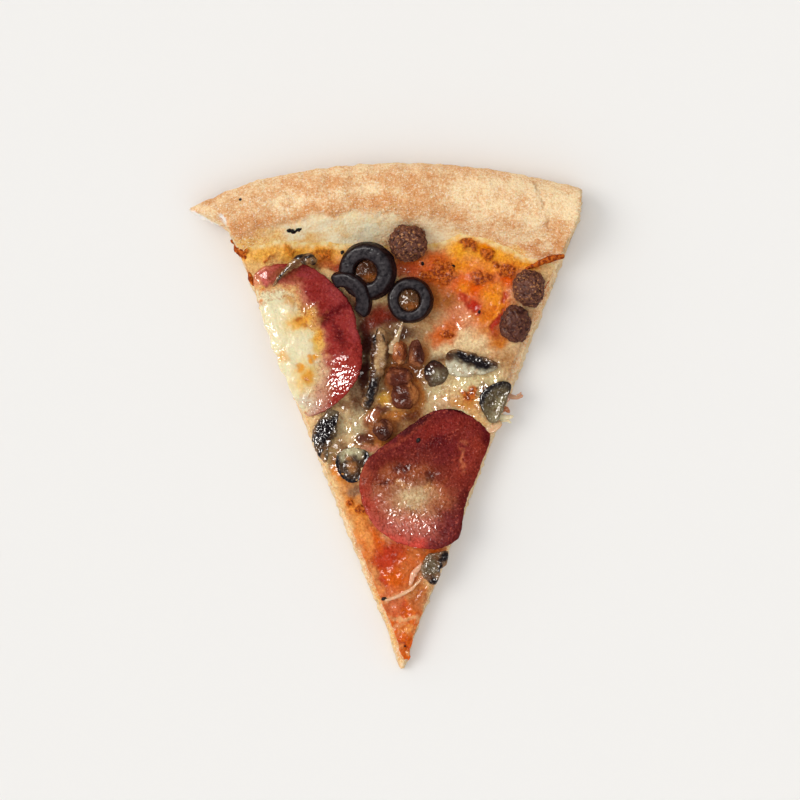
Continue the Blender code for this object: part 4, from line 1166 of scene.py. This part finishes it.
dry_meat = Finish("browned mince", roughness=0.4, specular_ior_level=0.06)
tone = dry_meat.clouds(0.9, detail=4, roughness=0.65)
# Painted shade: the hollows between the grains are darker, the tops of the grains lighter.
raised = dry_meat.step(dry_meat.marked("raised") * 0.6 + tone * 1.2, 0.4, 1.5)
colour = dry_meat.mix(dry_meat.step(raised, 0.0, 0.55), shade(66, 36, 30), shade(106, 64, 50))
golden = dry_meat.step(dry_meat.clouds(0.85, detail=2, seed=0.2), 0.54, 0.68)
colour = dry_meat.mix(golden * (0.85 - dry_meat.marked("dark")), colour, shade(186, 126, 76))
colour = dry_meat.mix(dry_meat.marked("dark"), colour, shade(70, 34, 32))
dry_meat.surface_gets(base_color=colour)
dry_meat.bump(dry_meat.clouds(1.4, detail=1, seed=0.6), depth=0.9)
glazed_meat = greasy_food("glazed mince", 0.8, 0.7, 0.9, shine=0.03)
GLAZES = {  # colours of the glazed pieces: the whole, then its patches
    "meatball_4": (
        (156, 84, 46), ((204, 138, 86), 0.7, ((-2.6, 111, 1.3, 2.4), (0.2, 105.6, 2, 0.8))),
        ((112, 54, 32), 0.7, ((1.0, 108.5, 0.7, 2.8), (-0.8, 108.6, 0.7, 1.0)))),
    "meatball_5": (
        (104, 56, 40), ((156, 96, 62), 0.7, ((3.2, 106, 0.8, 3), (5, 104.6, 2, 0.8))),
        ((72, 36, 30), 0.7, ((6.2, 109, 1.0, 3),))),
    "meatball_6": (
        (96, 48, 36), ((150, 88, 56), 0.7, ((-4.6, 100.8, 0.8, 2.4), (2.4, 99.6, 1, 2))),
        ((140, 78, 50), 0.7, ((-1.6, 102.4, 2, 0.7, 0, 0.8),))),
    "meatball_7": (
        (104, 54, 38), ((186, 116, 64), 0.6, ((4.6, 94.6, 1.7, 5.6, 10), (3.4, 98, 1.6, 1.2))),
        ((76, 36, 28), 0.7, ((0.4, 93.8, 1.8, 1.6), (-1.6, 96.4, 1, 1)))),
    "meatball_8": (
        (92, 50, 38), ((150, 92, 60), 0.7, ((-3.8, 83.6, 1.2, 2), (-8.6, 84.4, 1.6, 1))),
        ((66, 34, 28), 0.6, ((-6.2, 81.6, 1.6, 1.4),))),
}
for node, finish, middle_x, middle_y, halves in (
        ("meatball_1", dry_meat, 2.1, 146.4, (6.6, 6.3, 5.4)),
        ("meatball_2", dry_meat, 43.6, 130.8, (5.5, 6.1, 5.2)),
        ("meatball_3", dry_meat, 38.8, 118.8, (5.2, 6.4, 5.0)),
        ("meatball_4", glazed_meat, -0.9, 109.0, (2.7, 4.0, 3.0)),
        ("meatball_5", glazed_meat, 4.8, 108.3, (2.7, 4.6, 3.2)),
        ("meatball_6", glazed_meat, -1.2, 100.4, (4.8, 3.4, 3.4)),
        ("meatball_7", glazed_meat, 1.0, 94.4, (4.6, 5.0, 3.5)),
        ("meatball_8", glazed_meat, -6.4, 82.3, (3.6, 3.4, 3.3))):
    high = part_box(node)[1]
    dry = finish is dry_meat
    middle_z = high.z / MM - halves[2] - 0.3
    grain, depth, fine = (1.1, 0.5, 6) if dry else (2.0, 0.6, 5)
    ball = mince(node, (middle_x, middle_y, middle_z), halves, grain, depth, fine)
    if dry:
        darkness = 0.35 if node == "meatball_3" else 0.0
        mark(ball.data, "dark", np.full(len(ball.data.vertices), darkness))
    else:
        x, y, z = points_of(ball.data)
        paint(ball.data, *wavered(x, y, z, 0.4, 1.6, 2, 0, 5), *GLAZES[node])
        wetten(ball.data, x * 0 + 0.11, 0.7, 0.28)
    fit_out(ball, finish, "meatball", node)

# The mushrooms.
# Sliced brown mushrooms, shrunk and wet: tan stalks, grey flesh and nearly black gills. Two
# pieces lie along the middle, the others by the cuts.
def strip(name, path, half_widths, half_heights, rise, spacing=0.35):
    """A long piece: it follows a path of (x, y), its half width and height change along it, and
    its underside lies rise above the cheese."""
    rounding = 12  # of the path's corners
    path = np.array(path, float)
    lengths = np.concatenate(([0], np.cumsum(np.hypot(*np.diff(path, axis=0).T))))
    stops = lengths / lengths[-1]
    even = np.linspace(0, 1, 101)
    line = np.stack([np.interp(even, stops, path[:, axis]) for axis in (0, 1)], axis=1)
    for _ in range(rounding):
        line[1:-1] = (line[:-2] + line[1:-1] + line[2:]) / 3
    heading = np.gradient(line, axis=0)
    heading /= np.hypot(*heading.T)[:, None]
    shares = np.linspace(0, 1, len(half_widths))

    def place(u, v):
        wide = np.interp(u, shares, half_widths)
        high = np.interp(u, shares, half_heights)
        closing = np.sqrt(1 - np.clip(1 - (0.5 - np.abs(u - 0.5)) * lengths[-1], 0, 1) ** 2)
        ripple = 1 + 0.16 * cloudy(u * lengths[-1], np.cos(2 * np.pi * v), np.sin(2 * np.pi * v),
                                   1.6, 2, seed=path[0][0])
        sideways = wide * np.cos(2 * np.pi * v) * closing * ripple
        upward = high * np.sin(2 * np.pi * v) * closing * ripple
        line_x, line_y = np.interp(u, even, line[:, 0]), np.interp(u, even, line[:, 1])
        x = line_x - sideways * np.interp(u, even, heading[:, 1])
        y = line_y + sideways * np.interp(u, even, heading[:, 0])
        return x, y, cheese_top(line_x, line_y) + rise + high + upward

    around = 2 * math.pi * (max(half_widths) + max(half_heights)) / 2
    return wrap(name, round(lengths[-1] / spacing), max(12, round(around / spacing)), place)


GILLS, GREY, WHITE, BROWN = (32, 26, 28), (108, 92, 70), (206, 198, 168), (108, 72, 46)


def finish_mushroom(piece, node, *coats, tan=(160, 122, 82), wet=0.3):
    """Finishes a mushroom slice: its tan, and over it coats of a colour and its ovals."""
    finish_soft(piece, "mushroom", node, (0.4, 2, 3, 0, 5), wet, tan,
                *[(colour, 0.5, ovals) for colour, ovals in coats])


stalk = strip("mushroom_1", ((-44.2, 131.4), (-42.2, 134.4), (-39.8, 136.8), (-37, 138.8),
                             (-34.6, 140.6), (-31.4, 141), (-29.6, 139)),
              (0.35, 0.7, 0.9, 1.3, 1.9, 1.7, 1.2), (0.5, 0.7, 0.8, 1.0, 1.5, 1.4, 0.9), 1.9)
finish_mushroom(stalk, "mushroom_1",
                (BROWN, ((-36, 139.4, 6, 0.8, 30), (-41, 133.6, 4, 0.5, 50))),
                (GILLS, (
                    (-31, 141.4, 3.4, 0.8, 10), (-30.2, 138.8, 1.4, 1.2),
                    (-40.8, 135.6, 3.6, 0.4, 50), (-35, 141.8, 2.4, 0.7, 20),
                    (-33.4, 139, 0.8, 1.2, 30, 0.8))))
blade = strip("mushroom_2", ((-7.4, 117.6), (-7.4, 113), (-7.8, 108), (-8.4, 103), (-9.6, 98),
                             (-11.2, 93), (-12.6, 89.4)),
              (1.0, 2.9, 3.2, 2.4, 1.7, 1.9, 1.6), (1.0, 1.5, 1.6, 1.4, 1.4, 1.3, 0.9), 0.6)
finish_mushroom(blade, "mushroom_2",
                ((78, 48, 32), (
                    (-10.2, 110, 1.1, 9, 2), (-4.9, 107, 0.9, 6, 0, 0.9), (-10.2, 100, 1.2, 5, -10),
                    (-7.6, 98, 0.7, 4, -10, 0.8))),
                ((196, 160, 112), ((-7, 110, 1.2, 3, 0, 0.8), (-8.6, 104, 0.7, 3, -10, 0.8))),
                ((88, 56, 38), ((-10.2, 113.6, 1.3, 5),)),
                (GILLS, (
                    (-10.4, 95, 1.7, 6.4, -16), (-9.4, 114.6, 0.8, 3.6, 4),
                    (-6.4, 113.8, 0.6, 1.5, 30))), wet=0.2)

GILL_RIM = ((-21.6, 88.6), (-22.4, 84), (-24.2, 79), (-25.4, 75.6), (-25.0, 72.4), (-26.6, 70.8),
            (-28.2, 73.2), (-30.2, 77.4), (-30.9, 80.4), (-29.4, 84), (-27, 87.4), (-24.4, 89.4))
gills = lay("mushroom_3", (-26.2, 80.6), GILL_RIM, 1.0, 0.2, lambda x, y, share: (
    3.0 - 1.0 * ease(-27, -31, x) + 0.3 * cloudy(x, y, x * 0, 1.8, 2, seed=12)), ragged=0.25)
finish_mushroom(gills, "mushroom_3",
                (GILLS, (
                    (-25.9, 82.5, 4.0, 8, -32), (-29.4, 79, 1.8, 3), (-28, 74.6, 0.9, 2, -20))),
                (GREY, ((-24, 88.4, 3, 1.4, 30), (-22.6, 79.6, 1.2, 3.4), (-25.6, 73.6, 0.8, 2))),
                wet=0.7)

TIP_RIM = ((7.2, 36.6), (6.8, 32.4), (9.0, 30.4), (10.6, 28.9), (12.8, 31.8), (12.9, 34.6),
           (15.8, 40.8), (12.2, 40.2), (9.0, 39.8))
tip_slice = lay("mushroom_4", (10.6, 35.2), TIP_RIM, 0.7, 0.3, lambda x, y, share: (
    1.9 + 0.2 * cloudy(x, y, x * 0, 1.8, 2, seed=22)), spacing=0.3)
finish_mushroom(tip_slice, "mushroom_4",
                (GREY, ((9.8, 35, 2.6, 4),)),
                (BROWN, ((9.4, 31.8, 1.6, 1.2), (12, 38.4, 1.6, 1.2))),
                (GILLS, (
                    (14.4, 38.8, 2.6, 1.6, 55), (11.2, 30.2, 2.4, 1.3, -30),
                    (13, 35.6, 0.7, 2.4, -10))), tan=(146, 112, 80), wet=0.4)

CAP_RIM = ((15.2, 108.6), (15.0, 104.2), (16.6, 101.4), (20.5, 100.6), (25, 101.6), (29.6, 102),
           (32.6, 103.4), (33, 105.2), (30, 106.6), (26, 107.6), (21.6, 109.2), (18, 110))


def cap_thickness(x, y, share):
    across = (y - 105) + 0.28 * (x - 23)  # across the strip, from the flesh up to the gills
    return 1.4 + 1.5 * ease(-2, 2, across) + 0.2 * cloudy(x, y, x * 0, 2, 2, seed=32)


cap = lay("mushroom_5", (23.4, 105), CAP_RIM, 0.9, 0.4, cap_thickness)
finish_mushroom(cap, "mushroom_5",
                (WHITE, ((19, 103.4, 5, 3.6, -20), (27.5, 102.6, 7, 1.8, -6))),
                (BROWN, ((16, 107.6, 1.2, 2), (31.6, 105, 1.6, 1.2))),
                (GILLS, ((24, 106.4, 8.6, 2.1, -16), (27, 104.6, 4.4, 1.6, -14))), wet=0.4)

DOME_RIM = [(11.7 + (4.2 + 0.5 * math.sin(a)) * math.cos(a / 3),
             101.3 + (4.7 + 0.5 * math.sin(a + 2)) * math.sin(a / 3)) for a in range(19)]
dome = lay("mushroom_6", (11.7, 101.3), DOME_RIM, 0.9, 0.4, lambda x, y, share: (
    1.0 + 1.6 * (1 - share ** 2) + 0.14 * cloudy(x, y, x * 0, 1.8, 3, seed=42)))
finish_mushroom(dome, "mushroom_6",
                ((74, 44, 34), ((8.8, 102.6, 2.6, 5, 20), (12.0, 105.4, 4.6, 2.0))),
                ((108, 94, 72), ((12.6, 99.8, 3.2, 3.2),)),
                ((150, 138, 112), ((12.0, 101.6, 1.6, 1.2, 0, 0.6),)),
                (GILLS, ((8.2, 103.6, 0.7, 3.2, 20, 0.8), (11.4, 105.9, 3, 0.6, 0, 0.8))),
                tan=(96, 80, 60), wet=0.4)

# Shreds, crumbs and flecks.
# Loose ends: torn cheese and dough standing out of the right cut, threads of cheese pulled thin
# over the middle, crumbs fried in oil along the cuts, white crumb at the torn end, flecks of char.
PINKISH, CREAM, FRIED = (196, 148, 116), (232, 214, 174), (198, 104, 44)
for number, (path, widths, tone, rise) in enumerate((
        (((34.6, 92.4), (36.8, 94.0), (39.4, 93.4), (41.6, 94.2)), (1.3, 1.1, 0.6, 0.7),
         PINKISH, -1.6),
        (((39.0, 93.6), (40.6, 94.6), (40.9, 95.4)), (0.6, 0.5, 0.3), PINKISH, -1.4),
        (((33.0, 89.4), (35.8, 89.6), (37.0, 88.2)), (1.2, 1.0, 0.5), (186, 118, 78), -1.8),
        (((32.6, 87.0), (35.6, 86.6), (38.4, 87.0)), (0.8, 1.0, 0.4), CREAM, -1.6),
        (((33.4, 85.6), (36.4, 85.6), (37.6, 84.6)), (0.6, 0.6, 0.3), CREAM, -1.7),
        (((28.2, 82.4), (31.0, 82.8), (34.2, 85.2)), (1.1, 1.6, 0.9), (220, 178, 134), -1.2),
        (((0.2, 119.8), (-0.7, 116.4), (-2.2, 112.6), (-4.6, 108.6)), (0.25, 0.6, 1.3, 2.2),
         (196, 164, 124), 1.4),
        (((2.6, 28.8), (3.6, 32.2), (7.0, 36.6)), (0.5, 1.1, 0.5), (230, 170, 134), -0.1),
        (((-6.0, 23.6), (-1, 25.4), (3.2, 27.6), (6.6, 31.2)), (0.5, 0.6, 0.6, 0.4),
         (232, 178, 136), -0.1),
        (((-58.8, 147.6), (-57.8, 146.6), (-56.4, 146.8)), (0.5, 0.7, 0.4), FRIED, -1.0),
        (((-57.6, 145.8), (-55.8, 144.6), (-54.4, 142.8), (-52.8, 141.2)), (1.0, 2.0, 1.8, 0.9),
         FRIED, -1.2),
        (((-52.6, 136.6), (-51.8, 133.8), (-50.8, 131.8)), (0.5, 0.9, 0.6), FRIED, -2.0),
        (((-41.6, 110.6), (-40.7, 108.4), (-39.9, 106.6)), (0.5, 0.9, 0.4), FRIED, -2.2),
        (((-38.2, 99.2), (-37.6, 97.2), (-36.8, 95.6)), (0.4, 0.7, 0.3), FRIED, -2.4),
        (((42.0, 137.5), (47.0, 139.5), (51.6, 141.2), (55.8, 142.2)), (0.4, 0.9, 1.2, 0.8),
         FRIED, -1.0),
        (((0.9, 6.8), (1.9, 5.6), (2.5, 4.4)), (0.5, 0.8, 0.4), (216, 138, 76), -2.2)), start=1):
    fat = 0.6 if tone is FRIED else 0.25
    shred = strip("shred_%d" % number, path, widths, [0.3 + fat * wide for wide in widths], rise,
                  spacing=0.3)
    x, y, z = points_of(shred.data)
    paint(shred.data, x, y, tone)
    if tone is FRIED:
        mark(shred.data, "blistered", x * 0 + 1)
        fit_out(shred, melt, "melted_cheese")
    else:
        wetten(shred.data, x * 0 + 0.3, 0.8)
        fit_out(shred, creamy, "melted_cheese")

TUFT_RIM = ((-70.8, 157.2), (-68, 158.4), (-64.6, 158.4), (-62.2, 156.6), (-62.6, 154.8),
            (-65.2, 155.0), (-68.4, 156.0))


def tuft_heights(x, y, share):
    lumps = 0.9 * cloudy(x, y, x * 0, 1.8, 3, seed=3)
    return 2.2 + x * 0, 6.4 + lumps + 0.25 * (x + 66)


tuft = pillow("torn_crumb", (-66, 156.6), TUFT_RIM, 0.4, 1.4, tuft_heights, ragged=0.4)
for name, value in (("crumb", 1.0), ("torn", 1.0), ("painted_pore_shade", 0.0)):
    mark(tuft.data, name, np.full(len(tuft.data.vertices), value))
fit_out(tuft, crust, "baked_dough")

char = Finish("char", roughness=0.5, specular_ior_level=0.1)
char.surface_gets(base_color=shade(26, 20, 20))
grounds = [feeler(piece.data) for piece in (dough, cheese, salami_right)]


def ground_at(x, y):
    """How high the dough, the cheese or the right salami slice is at one place, in millimetres."""
    above = tip + Vector((x, y, ABOVE_ALL)) * MM
    hits = [ground.ray_cast(above, DOWN)[0] for ground in grounds]
    return max(hit.z / MM for hit in hits if hit)


for number, (fleck_x, fleck_y, half_long, half_wide, lean) in enumerate((
        (-38.0, 150.2, 1.5, 0.6, -10), (-35.6, 150.6, 1.4, 0.5, 25), (-20.5, 143.2, 0.8, 0.6, 60),
        (7, 139.2, 0.5, 0.6, 0), (17.6, 138.7, 0.6, 0.4, -30), (26.5, 122.9, 0.35, 0.7, 0),
        (5.5, 78.5, 0.8, 0.6, 60), (-6.2, 24.1, 0.9, 0.6, 0), (1.2, 8, 0.5, 0.4, 0),
        (-55, 161, 0.5, 0.3, 0)), start=1):
    cos, sin = math.cos(math.radians(lean)), math.sin(math.radians(lean))
    around = np.linspace(0, 5.8, 12)
    along, across = half_long * np.cos(around), half_wide * np.sin(around)
    corners = np.stack((fleck_x + along * cos - across * sin, fleck_y + along * sin + across * cos),
                       axis=1)

    def fleck_heights(x, y, share):
        ground = np.array([ground_at(*place) for place in zip(x, y)])
        return ground - 0.3, ground + 0.5 + 0.25 * cloudy(x, y, x * 0, 0.6, 2)

    fleck = pillow("char_fleck_%d" % number, (fleck_x, fleck_y), corners, 0.2, 0.3,
                   fleck_heights, ragged=0.25)
    fit_out(fleck, char, None)
